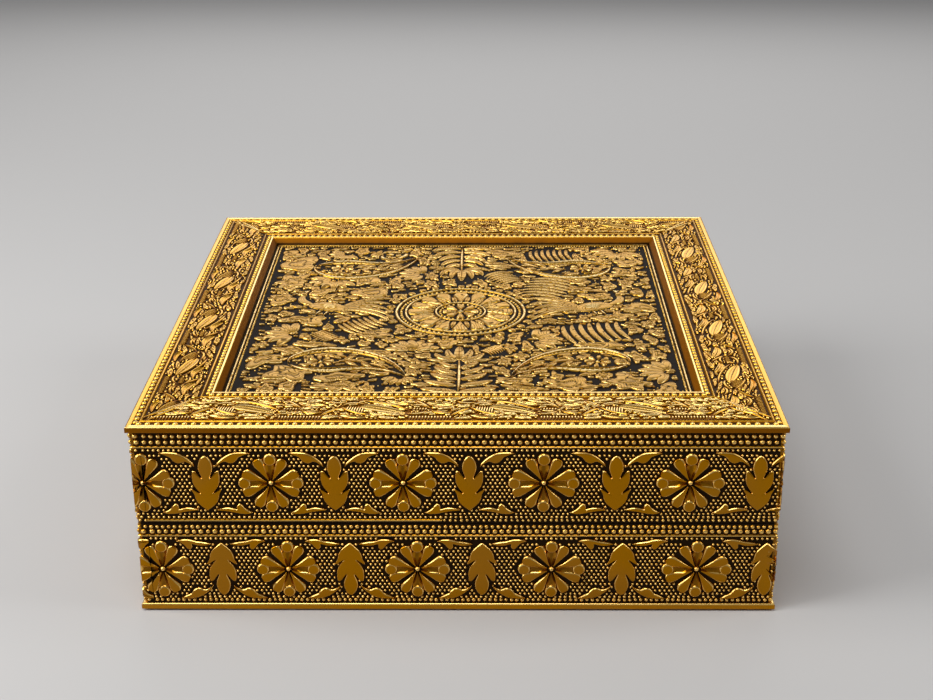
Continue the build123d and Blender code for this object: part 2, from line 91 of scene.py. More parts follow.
# %% Soft lights
def softbox(name, place, aim, width, height, power):
    """A rectangular panel of light at a place, turned to face a point."""
    lamp = bpy.data.lights.new(name, "AREA")
    lamp.shape = "RECTANGLE"
    lamp.size = width
    lamp.size_y = height
    lamp.energy = power
    panel = bpy.data.objects.new(name, lamp)
    panel.location = place
    panel.rotation_euler = (Vector(aim) - Vector(place)).to_track_quat("-Z", "Y").to_euler()
    bpy.context.scene.collection.objects.link(panel)


softbox("key_left", (-0.8, -0.2, 0.56), (0, 0, 0.04), 0.6, 0.7, 6.8)
softbox("light_above", (-0.15, -0.34, 0.95), (0, 0, 0.04), 0.6, 0.3, 3.4)
softbox("light_right", (0.8, -0.08, 0.6), (0, 0, 0.04), 0.45, 0.6, 2.4)
softbox("light_behind", (0.05, 0.85, 0.45), (0, 0, 0.05), 1.1, 0.35, 2.2)
print("lamps:", *bpy.data.lights.keys())

# %% [markdown]
# ## Writing materials as sums
# A finish is arithmetic on a few patterns. Nodes could be added and linked one by one, but the
# sum would be lost among them. The small class below holds a socket and overloads the
# operators, so that 1 - mask or noise * 0.3 adds the Math nodes by itself, and one method adds
# any other node from its type, its settings and the values or links of its inputs.

# %% Sockets in arithmetic
class Sock:
    """An output socket that can be used in Python arithmetic."""

    def __init__(self, nodes, socket):
        self.nodes, self.socket = nodes, socket

    def math(self, operation, *values, clamp=False):
        """A Math node on this socket and more values."""
        return self.nodes.node("Math", {"operation": operation, "use_clamp": clamp}, self, *values)

    def __add__(self, other):
        return self.math("ADD", other)

    def __mul__(self, other):
        return self.math("MULTIPLY", other)

    def __sub__(self, other):
        return self.math("SUBTRACT", other)

    def __rsub__(self, other):
        return self.nodes.node("Math", {"operation": "SUBTRACT"}, other, self)

    __radd__, __rmul__ = __add__, __mul__

    def between(self, low, high):
        """0 below low, 1 above high, and smooth in between."""
        return self.nodes.node("MapRange", {"interpolation_type": "SMOOTHSTEP"}, self, low, high)


# %% Node trees
class Nodes:
    """The node tree of a material or of the world."""

    def __init__(self, tree):
        self.tree = tree

    def feed(self, socket, value):
        """Links a Sock to an input, or writes a plain value there. A colour gets its alpha."""
        if isinstance(value, Sock):
            self.tree.links.new(value.socket, socket)
        else:
            socket.default_value = (*value, 1.0) if isinstance(value, tuple) else value

    def node(self, kind, settings, *values, output=0, **named):
        """Adds a node: its settings first, then its inputs by order or by name."""
        made = self.tree.nodes.new("ShaderNode" + kind)
        for key, value in settings.items():
            setattr(made, key, value)
        for socket, value in zip(made.inputs, values):
            self.feed(socket, value)
        for key, value in named.items():
            self.feed(made.inputs[key.replace("_", " ")], value)
        return Sock(self, made.outputs[output])

    def blend(self, share, first, second):
        """A colour between two others. The Mix node has its colours at inputs 6 and 7 and output 2."""
        mix = self.tree.nodes.new("ShaderNodeMix")
        mix.data_type = "RGBA"
        for place, value in ((0, share), (6, first), (7, second)):
            self.feed(mix.inputs[place], value)
        return Sock(self, mix.outputs[2])


# %% Materials
class Paint(Nodes):
    """One material, with patterns that stand still on the piece."""

    def __init__(self, name):
        self.material = bpy.data.materials.new(name)
        self.material.use_nodes = True
        super().__init__(self.material.node_tree)
        self.shader = self.tree.nodes["Principled BSDF"]
        self.place = self.node("TexCoord", {}, output="Object")

    def noise(self, per_metre, detail, roughness=0.5):
        """A soft random pattern with so many waves to a metre, from 0 to 1."""
        return self.node("TexNoise", {}, Vector=self.place, Scale=per_metre, Detail=detail,
                         Roughness=roughness)

    def bump(self, height, depth, strength):
        """A Bump node whose height input spans depth, in metres."""
        return self.node("Bump", {}, Strength=strength, Distance=depth, Height=height)

    def finish(self, **values):
        """Writes or links the Principled shader's inputs."""
        for key, value in values.items():
            self.feed(self.shader.inputs[key.replace("_", " ")], value)
        return self.material


# %% [markdown]
# ## Floor and world
# The floor is a plain sheet of pale card. It is part of the stage, not of the box. The world
# could be one grey, but then what lights the box and what the metal mirrors are tied together:
# here it gives little light, and is a lighter grey where the camera or a mirror looks at it.

# %% Floor and world
FLOOR_CARD = (0.6, 0.59, 0.58)
WORLD_AS_LIGHT = (0.1, 0.1, 0.105)
WORLD_AS_SEEN = (0.3, 0.3, 0.3)

bpy.ops.mesh.primitive_plane_add(size=6, location=(0, 0.8, 0))
floor = bpy.context.object
floor.name = "floor"
floor.data.materials.append(Paint("floor_card").finish(Base_Color=FLOOR_CARD, Roughness=0.9))

world = bpy.data.worlds.new("studio")
world.use_nodes = True
bpy.context.scene.world = world
sky = Nodes(world.node_tree)
direct, mirrored, through = (sky.node("LightPath", {}, output=f"Is {way} Ray")
                             for way in ("Camera", "Glossy", "Transmission"))
seen = (direct + mirrored).math("ADD", through, clamp=True)
sky.feed(sky.tree.nodes["Background"].inputs["Color"], sky.blend(seen, WORLD_AS_LIGHT, WORLD_AS_SEEN))
print("stage ready:", floor.name, "and", world.name)

# %% [markdown]
# ## Antique gold
# Antiqued sheet is washed with dark patina and then rubbed, so the hollows stay brown-black and
# whatever stands out is bright. Noise alone would put the dark anywhere, and it has to follow
# each bead. So every stamped piece carries its own attribute, rub, which is 0 deep in the
# ground and 1 on a crest. The finish reads it, adds a little cloudiness, and lowers the
# roughness where the metal was rubbed. Rub also carries painted light: painted shade on the
# lower side of the bands' beads and dots, and a lighter or darker tone set rail by rail for how
# the light falls on each rail of the frame.

# %% The gold finish
PAINTED_HIGHLIGHT_START, PAINTED_HIGHLIGHT_FULL = 0.0006, 0.0002


def antique_gold(name, hollow, plain_gold, crest, crest_roughness, lacquer, stain=None, engraved=0.0,
                 even_rub=None, edge=None):
    """Lacquered gold-tone sheet, from its patina through its plain gold to its rubbed crests.
    The plain gold is dulled in slow clouds. A stain is a darker gold between the patina and the
    plain gold. Engraved lines follow the contours of a slow noise, so they run side by side and
    curve. A smooth piece, without the attribute, has an even rub, and a painted highlight near its
    top edge: a brighter band where its rounded top catches the light."""
    paint = Paint(name)
    rub = paint.node("Attribute", {"attribute_name": "rub"}, output="Fac")
    if even_rub:
        height = paint.node("SeparateXYZ", {}, paint.place, output=2)
        # Painted highlight: the rub rises just below the top edge, so a brighter band lies there.
        rub = rub + even_rub + height.between(edge - PAINTED_HIGHLIGHT_START, edge - PAINTED_HIGHLIGHT_FULL) * 0.3
    dulled = tuple(0.86 * channel + 0.012 for channel in plain_gold)
    plain_gold = paint.blend(paint.noise(28, 1).between(0.44, 0.6) * 0.6, plain_gold, dulled)
    cloud = paint.noise(260, 3, 0.6)
    speck = paint.noise(2400, 2, 0.7)
    worn = rub + (cloud - 0.5) * 0.16 + (speck - 0.5) * 0.12
    if engraved:
        contour = (paint.noise(90, 1, 0.4) * 160).math("SINE")
        worn = worn - contour.between(0.5, 1.0) * engraved
    if stain:
        colour = paint.blend(worn.between(0.05, 0.3), hollow, stain)
        colour = paint.blend(worn.between(0.36, 0.62), colour, plain_gold)
    else:
        colour = paint.blend(worn.between(0.05, 0.6), hollow, plain_gold)
    colour = paint.blend(worn.between(0.74, 0.96), colour, crest)
    polish = worn.between(0.1, 0.65)
    grain = paint.noise(5200, 2, 0.6)
    return paint.finish(
        Base_Color=colour,
        Metallic=0.3 + polish * 0.7,
        Roughness=crest_roughness + (1 - polish) * 0.4 + (cloud - 0.5) * 0.12,
        Coat_Weight=worn.between(0.7, 1.0) * lacquer,
        Coat_Roughness=0.12,
        Specular_IOR_Level=0.08,
        Normal=paint.bump(grain, 0.00003, 0.2),
    )


# %% Four golds
# Each has the colours of its hollows, its plain gold and its crests, then roughness and lacquer.
BAND_PATINA = (0.022, 0.01, 0.002)
FOOT_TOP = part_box("base_front_foot_strip")[1][2]
band_gold = antique_gold("antique_gold", BAND_PATINA, (0.4, 0.165, 0.0022), (1.0, 0.66, 0.19), 0.2, 0.22)
# The foot strip's gold carries a painted highlight along its top edge.
foot_gold = antique_gold("foot_gold", BAND_PATINA, (0.5, 0.21, 0.004), (0.92, 0.6, 0.16), 0.26, 0.35,
                         even_rub=0.7, edge=FOOT_TOP)
frame_gold = antique_gold("frame_gold", (0.04, 0.018, 0.003), (0.74, 0.38, 0.02), (1.0, 0.69, 0.22),
                          0.22, 0.12, stain=(0.27, 0.09, 0.0005))
panel_gold = antique_gold("panel_gold", (0.016, 0.011, 0.008), (0.58, 0.3, 0.025), (0.97, 0.72, 0.3),
                          0.34, 0.05, engraved=0.45)
print("golds:", *(gold.name for gold in (band_gold, foot_gold, frame_gold, panel_gold)))

# %% [markdown]
# ## Closed shells, many at a time
# A stamped sheet holds thousands of small raised shapes. Thousands of objects would be slow,
# and a displaced grid would blur their rims. So each is a shell in one mesh: a stack of rings
# of points, with either end shut by a flat face or drawn to one point. All shells of a kind are
# one array of shape (shells, rings, points in a ring, 3), so thousands are made at once.

# %% Which way a shell faces
def turns_inward(rings):
    """Whether the walls of a batch of shells face inwards. Six times the volume between the walls
    and the middles of the shells is the sum, over the halves of their quads, of a . (b x c), and
    it is negative then."""
    local = rings - rings.mean(axis=(1, 2), keepdims=True)
    ahead = np.roll(local, -1, axis=2)
    first, second, third, fourth = local[:, :-1], ahead[:, :-1], ahead[:, 1:], local[:, 1:]
    volume = (first * np.cross(second, third)).sum() + (first * np.cross(third, fourth)).sum()
    return volume < 0


# %% Shell gatherer
MM_PER_METRE = 1000
SHARP_ANGLE = radians(56)


class Shells:
    """The shells of one piece, in millimetres. place turns pattern coordinates into the frame's,
    and trim, if there is one, presses what sticks out of the sheet back to its edge."""

    def __init__(self, place, trim=None):
        self.place, self.trim = place, trim
        self.points, self.rubs, self.faces, self.count = [], [], {}, 0

    def note(self, faces):
        """Keeps an array of faces whose last axis runs over the corners."""
        corners = faces.shape[-1]
        self.faces.setdefault(corners, []).append(faces.reshape(-1, corners))

    def add(self, rings, rub, start=None, end=None):
        """Adds shells. rub has one value for each point, or one for all. start and end are the
        poles, of shape (shells, 3), or None for a flat end."""
        rub = np.broadcast_to(rub, rings.shape[:3])
        if self.trim:
            rings, kept = self.trim(rings)
            rings, rub = rings[kept], rub[kept]
            start, end = (None if pole is None else self.trim(pole[kept][:, None, None])[0][:, 0, 0]
                          for pole in (start, end))
        shells, stack, loop, _ = rings.shape
        if not shells:
            return
        rings = self.place(rings)
        if turns_inward(rings):
            rings, rub = rings[:, :, ::-1], rub[:, :, ::-1]
        index = self.count + np.arange(shells * stack * loop).reshape(shells, stack, loop)
        following = np.roll(index, -1, axis=2)
        self.note(np.stack([index[:, :-1], following[:, :-1], following[:, 1:], index[:, 1:]], -1))
        self.points.append(rings.reshape(-1, 3))
        self.rubs.append(rub.reshape(-1))
        self.count += index.size
        for pole, ring, backwards in ((start, 0, True), (end, -1, False)):
            if pole is None:
                self.note(index[:, ring, ::-1] if backwards else index[:, ring])
                continue
            tip = np.broadcast_to(self.count + np.arange(shells)[:, None], (shells, loop))
            pair = (following[:, ring], index[:, ring]) if backwards else (index[:, ring], following[:, ring])
            self.note(np.stack([*pair, tip], -1))
            self.points.append(self.place(pole))
            self.rubs.append(rub[:, ring].max(axis=-1))
            self.count += shells

    def piece(self, name, material, body, slot, *nodes):
        """Makes the mesh and hands the piece to the frame."""
        mesh = bpy.data.meshes.new(name)
        points = np.concatenate(self.points) / MM_PER_METRE
        faces = [np.concatenate(kind) for kind in self.faces.values()]
        corners = np.concatenate([kind.ravel() for kind in faces])
        sizes = np.concatenate([np.full(len(kind), kind.shape[1]) for kind in faces])
        mesh.vertices.add(len(points))
        mesh.vertices.foreach_set("co", points.ravel())
        mesh.loops.add(len(corners))
        mesh.loops.foreach_set("vertex_index", corners)
        mesh.polygons.add(len(sizes))
        mesh.polygons.foreach_set("loop_start", np.cumsum(sizes) - sizes)
        mesh.polygons.foreach_set("use_smooth", np.ones(len(sizes), bool))
        mesh.update(calc_edges=True)
        mesh.attributes.new("rub", "FLOAT", "POINT").data.foreach_set("value", np.concatenate(self.rubs))
        mesh.set_sharp_from_angle(angle=SHARP_ANGLE)
        mesh.materials.append(material)
        made = bpy.data.objects.new(name, mesh)
        bpy.context.scene.collection.objects.link(made)
        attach(made, body)
        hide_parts(*nodes)
        print(name, int((sizes - 2).sum()), "triangles")


# %% [markdown]
# ## Beads and dots
# The ground is a lattice of tiny domes, and rows of larger ones border it. A sphere's lower half
# would be lost in the sheet, so a dome is two or three rings round an upright axis and a pole
# on top.

# %% Domes
SINK = 0.12  # how far the rim of a raised shape lies below the ground, in millimetres


def domes(centres, radius, height, sides=8, levels=2, stretch=1.0, painted_shade_below=0.0):
    """Slightly peaked domes on flat ground. Ring k lies at an angle a above the rim: its radius is
    the dome's times cos(a)^1.6, its height the dome's times sin(a)^1.3 and its rub sin(a)^0.35.
    Painted shade: the rub falls by the given share towards each dome's lower side, so that it is
    darker below, as if lit from above. Gives rings, rub, no lower pole and the upper ones."""
    centres = np.asarray(centres, float).reshape(-1, 2)
    radius = np.broadcast_to(radius, len(centres))[:, None, None]
    height = np.broadcast_to(height, len(centres))[:, None, None]
    lift = np.linspace(0, pi / 2, levels + 1)[:-1][None, :, None]
    around = np.arange(sides)[None, None, :] * tau / sides
    plan = radius * np.cos(lift) ** 1.6
    x = centres[:, 0, None, None] + plan * np.cos(around) * stretch
    y = centres[:, 1, None, None] + plan * np.sin(around)
    z = height * np.sin(lift) ** 1.3 - SINK * (lift == 0)
    # Painted shade: less rub, and so a darker colour, on each dome's lower side.
    rub = np.sin(lift) ** 0.35 * (1 - painted_shade_below * np.clip(-np.sin(around), 0, 1))
    poles = np.stack([centres[:, 0], centres[:, 1], height[:, 0, 0]], -1)
    return np.stack(np.broadcast_arrays(x, y, z), -1), rub, None, poles


def lattice(low, high, pitch_x, pitch_y, rng, shake):
    """Points in rows, every other row moved on by half a step, each shaken a little."""
    rows = np.arange(low[1], high[1] + 0.01, pitch_y)
    steps = np.arange(low[0], high[0], pitch_x)
    x, y = np.meshgrid(steps, rows)
    x = x + (np.arange(len(rows)) % 2)[:, None] * pitch_x / 2
    points = np.stack([x, y], -1).reshape(-1, 2)
    return points + rng.uniform(-shake, shake, points.shape)


print("a bead has", len(domes([(0, 0)], 1, 1, 12, 3)[0][0]), "rings of 12 points")

# %% [markdown]
# ## Dies
# Petals, leaves and scrolls are all one thing: a strip along a bent centre line, wide or narrow
# along its length and rounded across. Curve objects could carry a section too, but not change
# it on the way. A die holds the widths along the strip, and a table of heights along and across
# it. One call stamps the same die in hundreds of places.

# %% Die stamping
class Die:
    """Widths at stations along a strip, and heights over stations and places across. rubs are
    the rubs across it, where they aren't the heights."""

    def __init__(self, stations, widths, across, heights, rubs=None):
        self.stations, self.widths = np.asarray(stations, float), np.asarray(widths, float)
        self.across, self.heights = np.asarray(across, float), np.asarray(heights, float)
        self.rubs = self.heights if rubs is None else np.asarray(rubs, float)

    def press(self, start, middle, end, half_width, height):
        """Strips along the curve (1-s)^2 start + 2 s (1-s) middle + s^2 end, with s the station.
        A point lies off it, square to its run, by the place across times the width there."""
        start, middle, end = (np.asarray(p, float).reshape(-1, 1, 2) for p in (start, middle, end))
        half_width = np.broadcast_to(half_width, len(start))[:, None]
        height = np.broadcast_to(height, len(start))[:, None, None]
        s = self.stations[None, :, None]
        line = (1 - s) ** 2 * start + 2 * s * (1 - s) * middle + s ** 2 * end
        run = (1 - s) * (middle - start) + s * (end - middle)
        run = run / np.maximum(np.linalg.norm(run, axis=-1, keepdims=True), 1e-6)
        side = np.stack([-run[..., 1], run[..., 0]], -1)
        reach = half_width * self.widths[None]
        plan = line[:, :, None] + side[:, :, None] * (reach[:, :, None] * self.across)[..., None]
        lift = height * self.heights[None]
        edge = (np.abs(self.across) > 0.999)[None, None, :]
        rings = np.concatenate([plan, (lift - SINK * edge)[..., None]], -1)
        poles = [np.concatenate([p[:, 0], np.zeros((len(start), 1))], -1) for p in (start, end)]
        rub = np.broadcast_to(self.rubs, lift.shape)
        return rings, rub, poles[0], poles[1]


# %% Leaf dies
ACROSS = np.array([1, 0.87, 0.5, 0, -0.5, -0.87, -1])
ROUNDED = np.array([0, 0.72, 0.97, 1, 0.97, 0.72, 0])


def leaf_die(rows, belly, section, across=ACROSS, blunt=0.7, rubs=None):
    """A leaf pointed at both ends: width sin(pi s^belly)^blunt, tips lower than the middle."""
    s = (1 - np.cos(np.linspace(0.09, 0.95, rows) * pi)) / 2
    width = np.sin(pi * s ** belly) ** blunt
    lift = np.minimum(1, 2.6 * np.minimum(s, 1 - s) + 0.35)
    return Die(s, width, across, lift[:, None] * section, rubs)


SMOOTH_LEAF = leaf_die(9, 0.8, ROUNDED)
STROKE_ACROSS = np.array([1, 0.6, 0, -0.6, -1])
STROKE = leaf_die(9, 1.0, np.array([0, 0.85, 1, 0.85, 0]), STROKE_ACROSS, 0.3)
PLATE_ACROSS = np.array([1, 0.88, 0.78, 0.08, 0, -0.08, -0.78, -0.88, -1])
PLATE_SECTION = np.array([0, 0.9, 1, 1, 0.6, 1, 1, 0.9, 0])
PLATE_RUBS = np.array([0, 1, 0.8, 0.7, 0.3, 0.7, 0.8, 1, 0])
PLATE = leaf_die(9, 0.82, PLATE_SECTION, PLATE_ACROSS, 0.55, PLATE_RUBS)
WITHOUT_GROOVE = [0, 1, 2, 3, 5, 6, 7, 8]
PLAIN_PLATE = leaf_die(9, 0.9, PLATE_SECTION[WITHOUT_GROOVE], PLATE_ACROSS[WITHOUT_GROOVE], 0.5,
                       PLATE_RUBS[WITHOUT_GROOVE])
print("leaf dies have", len(PLATE.stations), "stations")

# %% Petal die
petal_stations = np.array([0.02, 0.2, 0.4, 0.6, 0.75, 0.84, 0.9, 0.94, 0.965, 0.985])
petal_widths = np.array([0.1, 0.28, 0.54, 0.82, 1.0, 0.95, 0.82, 0.67, 0.53, 0.34])
petal_lifts = np.array([0.6, 0.85, 0.95, 1, 1, 1, 1, 1, 0.78, 0.3])
PETAL_ACROSS = np.array([1, 0.97, 0.7, 0.6, 0.2, -0.2, -0.6, -0.7, -0.97, -1])
PETAL_SECTION = np.array([0, 0.12, 0.93, 1, 1, 1, 1, 0.93, 0.12, 0])
PETAL_RUBS = np.array([0, 0.72, 0.93, 0.74, 0.66, 0.66, 0.74, 0.93, 0.72, 0])
PETAL = Die(petal_stations, petal_widths, PETAL_ACROSS, petal_lifts[:, None] * PETAL_SECTION, PETAL_RUBS)
print("the petal is widest at", petal_stations[petal_widths.argmax()], "of its length")

# %% [markdown]
# ### The hollow petals
# Four of a flower's twelve petals are spoons: a flat round knob at the far end, and behind it a
# dish that reaches from one neighbour to the other. A hollow could be cut out of a plain petal,
# but a die is nothing but heights, so the dish is written into them: it rises nearly with the
# square of the distance from its middle line.

# %% Spoon petal dies
scoop_across = np.array([1, 0.98, 0.85, 0.65, 0.4, 0.15, -0.15, -0.4, -0.65, -0.85, -0.98, -1])
scoop_stations = np.array([0.03, 0.2, 0.4, 0.58, 0.72, 0.82, 0.9, 0.95, 0.985])
scoop_widths = np.array([0.14, 0.37, 0.63, 0.86, 0.99, 0.97, 0.82, 0.63, 0.38])
scoop_end = np.clip((scoop_stations - 0.72) / 0.25, 0, 1)[:, None]
scoop_heights = 0.05 + 0.95 * np.maximum(np.abs(scoop_across) ** 1.7, scoop_end ** 2)
scoop_heights[:, [0, -1]] = 0
scoop_rubs = 0.36 + 0.5 * np.maximum(scoop_across ** 2, scoop_end ** 2)
SCOOP = Die(scoop_stations, scoop_widths, scoop_across, scoop_heights, scoop_rubs)
print("the dish sinks to", round(scoop_heights[:, 5].min(), 2), "of its rim's height")


# %% Knobs
def buttons(centres, radius, height, sides=20):
    """Flat-topped round knobs: rings at shares of the radius, with a straight bevel."""
    centres = np.asarray(centres, float).reshape(-1, 2)
    shares = np.array([1, 0.97, 0.74, 0.64])
    lifts = np.array([-SINK / height, 0.12, 0.93, 1.0])
    rubs = np.array([0, 0.72, 0.93, 0.66])
    turn = np.arange(sides) * tau / sides
    x = centres[:, 0, None, None] + radius * shares[:, None] * np.cos(turn)
    y = centres[:, 1, None, None] + radius * shares[:, None] * np.sin(turn)
    z = np.broadcast_to(height * lifts[:, None], x.shape)
    return np.stack([x, y, z], -1), rubs[None, :, None]


# %% [markdown]
# ### The big leaf and its sprigs
# The leaf between two flowers is lobed, and the sprigs beside it swell and fork, so a strip can't
# make them. Their outlines are ruled to a rib inside instead: each outline point has its own
# point on the rib, chosen so that no two rulings cross, and the plate is a stack of rings
# between the two.

# %% Outlines of the leaf and its sprigs
# Each row is a point of the outline and its point on the rib: x, y, rib x, rib y.
leaf_half = np.array([
    (0, 9.6, 0, 8.4), (0.8, 9.35, 0, 8.2), (1.55, 8.5, 0, 7.7), (2.15, 7.4, 0, 6.9),
    (2.5, 5.9, 0, 5.8), (2.4, 4.5, 0, 4.6), (1.95, 3.2, 0, 3.5), (1.6, 2.3, 0, 2.7),
    (1.5, 1.85, 0, 2.1), (1.65, 1.9, 0, -0.2), (2.4, 3.0, 0, -0.5), (3.3, 4.4, 0, -0.7),
    (4.3, 4.5, 0, -0.9), (4.45, 3.1, 0, -1.1), (4.55, 1.4, 0, -1.4), (4.2, -0.3, 0, -2.0),
    (3.4, -1.8, 0, -2.8), (2.2, -3.3, 0, -3.5), (2.35, -3.4, 0, -5.0), (3.7, -2.45, 0, -5.2),
    (5.0, -1.55, 0, -5.5), (4.9, -2.2, 0, -5.8), (4.1, -3.7, 0, -6.1), (3.95, -5.0, 0, -6.5),
    (3.45, -6.4, 0, -7.1), (2.5, -7.6, 0, -7.7), (1.3, -8.75, 0, -8.3), (0, -9.8, 0, -8.8),
])
swash = np.array([
    (14.3, 10.5, 12.9, 10.25), (12.7, 10.9, 12.2, 10.15), (10.3, 10.8, 10.2, 9.9),
    (8.6, 10.6, 8.8, 9.0), (7.4, 10.1, 7.6, 8.7), (6.0, 9.3, 6.4, 8.3), (4.4, 7.95, 4.9, 7.4),
    (3.4, 6.9, 3.9, 6.4), (3.0, 5.4, 3.45, 6.0), (4.0, 6.3, 4.2, 6.8), (5.3, 7.1, 5.4, 7.7),
    (6.4, 7.35, 6.6, 8.2), (7.0, 6.9, 7.4, 8.2), (8.1, 6.6, 8.2, 8.3), (9.3, 7.0, 8.9, 8.5),
    (10.2, 7.9, 9.4, 9.0), (10.7, 8.8, 10.3, 9.6), (12.1, 9.4, 11.8, 10.0),
])
ivy = np.array([
    (14.4, -10.1, 13.0, -10.25), (13.0, -9.65, 12.4, -10.2), (11.7, -8.7, 11.2, -9.6),
    (10.9, -7.5, 10.4, -8.6), (9.9, -6.85, 10.0, -7.9), (9.1, -7.5, 9.7, -8.3),
    (8.8, -8.2, 9.6, -8.8), (9.1, -9.1, 9.5, -9.6), (8.0, -8.65, 8.2, -9.5), (6.3, -8.3, 6.5, -9.0),
    (4.3, -8.6, 4.6, -9.05), (2.6, -9.1, 3.2, -9.25), (2.9, -9.45, 3.4, -9.3),
    (4.4, -9.75, 4.8, -9.25), (5.8, -10.0, 6.2, -9.3), (7.7, -10.2, 7.8, -9.65),
    (9.0, -10.65, 9.2, -9.95), (10.7, -11.0, 10.6, -10.1), (13.0, -10.85, 12.0, -10.35),
])
print("rows in the outlines:", len(leaf_half), len(swash), len(ivy))


# %% Plates from outlines
def rounded_off(points, times):
    """Cuts the corners of an open run of points by a quarter from each side, keeping its ends."""
    for _ in range(times):
        near = points[:-1] * 0.75 + points[1:] * 0.25
        far = points[:-1] * 0.25 + points[1:] * 0.75
        inner = np.stack([near, far], 1).reshape(-1, points.shape[1])
        points = np.concatenate([points[:1], inner, points[-1:]])
    return points


def plates(figure, centres, height, mirror=(1, 1), bevel=0.5):
    """Plates of a figure at each centre. A row of the figure is an outline point and its rib
    point. Two rings lie on the outline and four at steps from it: two up the bevel, by their
    distance inwards, and two close to the rib, above and below."""
    figure = figure * (*mirror, *mirror)
    edge, inwards = figure[:, :2], figure[:, 2:] - figure[:, :2]
    gap = np.linalg.norm(inwards, axis=1)
    steps = [0.94 * gap, 0 * gap, 0.04 + 0 * gap, np.minimum(bevel * 0.75, gap * 0.5),
             np.minimum(bevel, gap * 0.65), 0.94 * gap]
    plan = edge + inwards * (np.stack(steps) / gap)[..., None]
    lifts = np.array([-SINK, -SINK, height * 0.15, height * 0.93, height, height])
    rubs = np.array([0, 0, 0.72, 0.93, 0.7, 0.66])
    rings = np.concatenate([plan, np.broadcast_to(lifts[:, None, None], (*plan.shape[:2], 1))], -1)
    offset = np.concatenate([np.asarray(centres, float), np.zeros((len(centres), 1))], -1)
    rings = rings[None] + offset[:, None, None]
    return rings, rubs[None, :, None]


def cell_plates(middle, edge, height, bevel, lined=False, top=0.7):
    """Flat plates whose outlines all see their middle. Four rings: two on the outline, below and
    above ground, and two up the bevel. A lined plate has three more for a groove inside."""
    inwards = middle[:, None] - edge
    gap = np.linalg.norm(inwards, axis=-1)
    steps = [0 * gap, 0.03 + 0 * gap, np.minimum(bevel * 0.75, gap * 0.4), np.minimum(bevel, gap * 0.5)]
    lifts, rubs = [-SINK, height * 0.3, height * 0.93, height], [0, 0.5, 1, top]
    if lined:
        steps += [gap * 0.46, gap * 0.55, gap * 0.64]
        lifts += [height, height * 0.7, height]
        rubs += [top, top - 0.45, top]
    plan = edge[:, None] + inwards[:, None] * (np.stack(steps, 1) / gap[:, None])[..., None]
    lifts = np.broadcast_to(np.array(lifts)[:, None, None], (*plan.shape[:3], 1))
    return np.concatenate([plan, lifts], -1), np.array(rubs)[None, :, None]


leaf_half = rounded_off(leaf_half, 2)
LEAF_FIGURE = np.concatenate([leaf_half, leaf_half[-2:0:-1] * (-1, 1, 1, 1)])
SWASH, IVY = (rounded_off(np.concatenate([figure, figure[:1]]), 2)[:-1] for figure in (swash, ivy))
print("outline points of leaf, swash and ivy:", len(LEAF_FIGURE), len(SWASH), len(IVY))

# %% [markdown]
# ## Where things are taken
# Dots fill the ground only where nothing else stands. Each dot could be tested against every
# petal, but a map is quicker: a fine grid of cells over the unrolled sheet notes what each shape
# covers, with a little margin, and a dot is kept if its cell is free.

# %% Pattern field
def finer(points, steps, axis):
    """Puts evenly spaced points between neighbours along one axis."""
    count = points.shape[axis]
    first = np.take(points, range(count - 1), axis)[..., None]
    second = np.take(points, range(1, count), axis)[..., None]
    filled = first + (second - first) * (np.arange(steps) / steps)
    filled = np.moveaxis(filled, -1, axis + 1)
    shape = list(points.shape)
    shape[axis] = (count - 1) * steps
    return filled.reshape(shape)


class Field:
    """A grid of cells over a flat pattern."""

    def __init__(self, low, high, cell=0.2):
        self.low, self.cell = np.array(low, float), cell
        self.taken = np.zeros(((np.array(high) - low) / cell).astype(int) + 2, bool)

    def cells(self, points):
        """The column and row of the cell that each point lies in."""
        found = ((points - self.low) / self.cell).astype(int)
        return tuple(np.clip(found, 0, np.array(self.taken.shape) - 1).T)

    def take(self, points):
        """Marks the cells under points as taken."""
        self.taken[self.cells(points.reshape(-1, 2))] = True

    def take_shells(self, rings, steps=6):
        """Takes what shells cover: their rings are filled across and along first."""
        plan = rings[..., :2]
        self.take(finer(finer(plan, steps, 2), steps, 1))

    def grow(self, margin):
        """Widens everything taken by a margin."""
        for _ in range(round(margin / self.cell)):
            wide = self.taken.copy()
            wide[1:] |= self.taken[:-1]
            wide[:-1] |= self.taken[1:]
            wide[:, 1:] |= self.taken[:, :-1]
            wide[:, :-1] |= self.taken[:, 1:]
            self.taken = wide

    def claim(self, points):
        """Takes the cells under points if all of them are free, and says whether it did."""
        cells = self.cells(points.reshape(-1, 2))
        if self.taken[cells].any():
            return False
        self.taken[cells] = True
        return True

    def free(self, points):
        """Whether the cell under each point is free."""
        return ~self.taken[self.cells(points.reshape(-1, 2))]


print("a field's cells are", Field((0, 0), (1, 1)).cell, "mm wide")

# %% [markdown]
# ## The four sides
# Each side sheet starts a little past its left corner, runs along its side and turns the right
# corner, as a sheet that is folded round a box does. Bending each motif by itself would open
# gaps at the corner. Unrolled, the sheet is flat, so its pattern is drawn in three numbers: the
# distance along it, the height above the table, and how far it stands out.

# %% Sizes from the frame
SIDES = ("front", "right", "back", "left")
SHEET = 0.4
CORNER_RADIUS = 0.8
TAB_WIDTH = 3.0
TAB_GAP = 0.15


def box_mm(node):
    """A node's lowest and highest corner in millimetres."""
    return np.array([list(corner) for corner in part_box(node)]) * MM_PER_METRE


board_box = box_mm("base_front_board")
body_wide = 2 * (board_box[1, 0] + SHEET)
body_deep = 2 * (SHEET - board_box[0, 1])
print("body", round(body_wide, 2), "by", round(body_deep, 2))


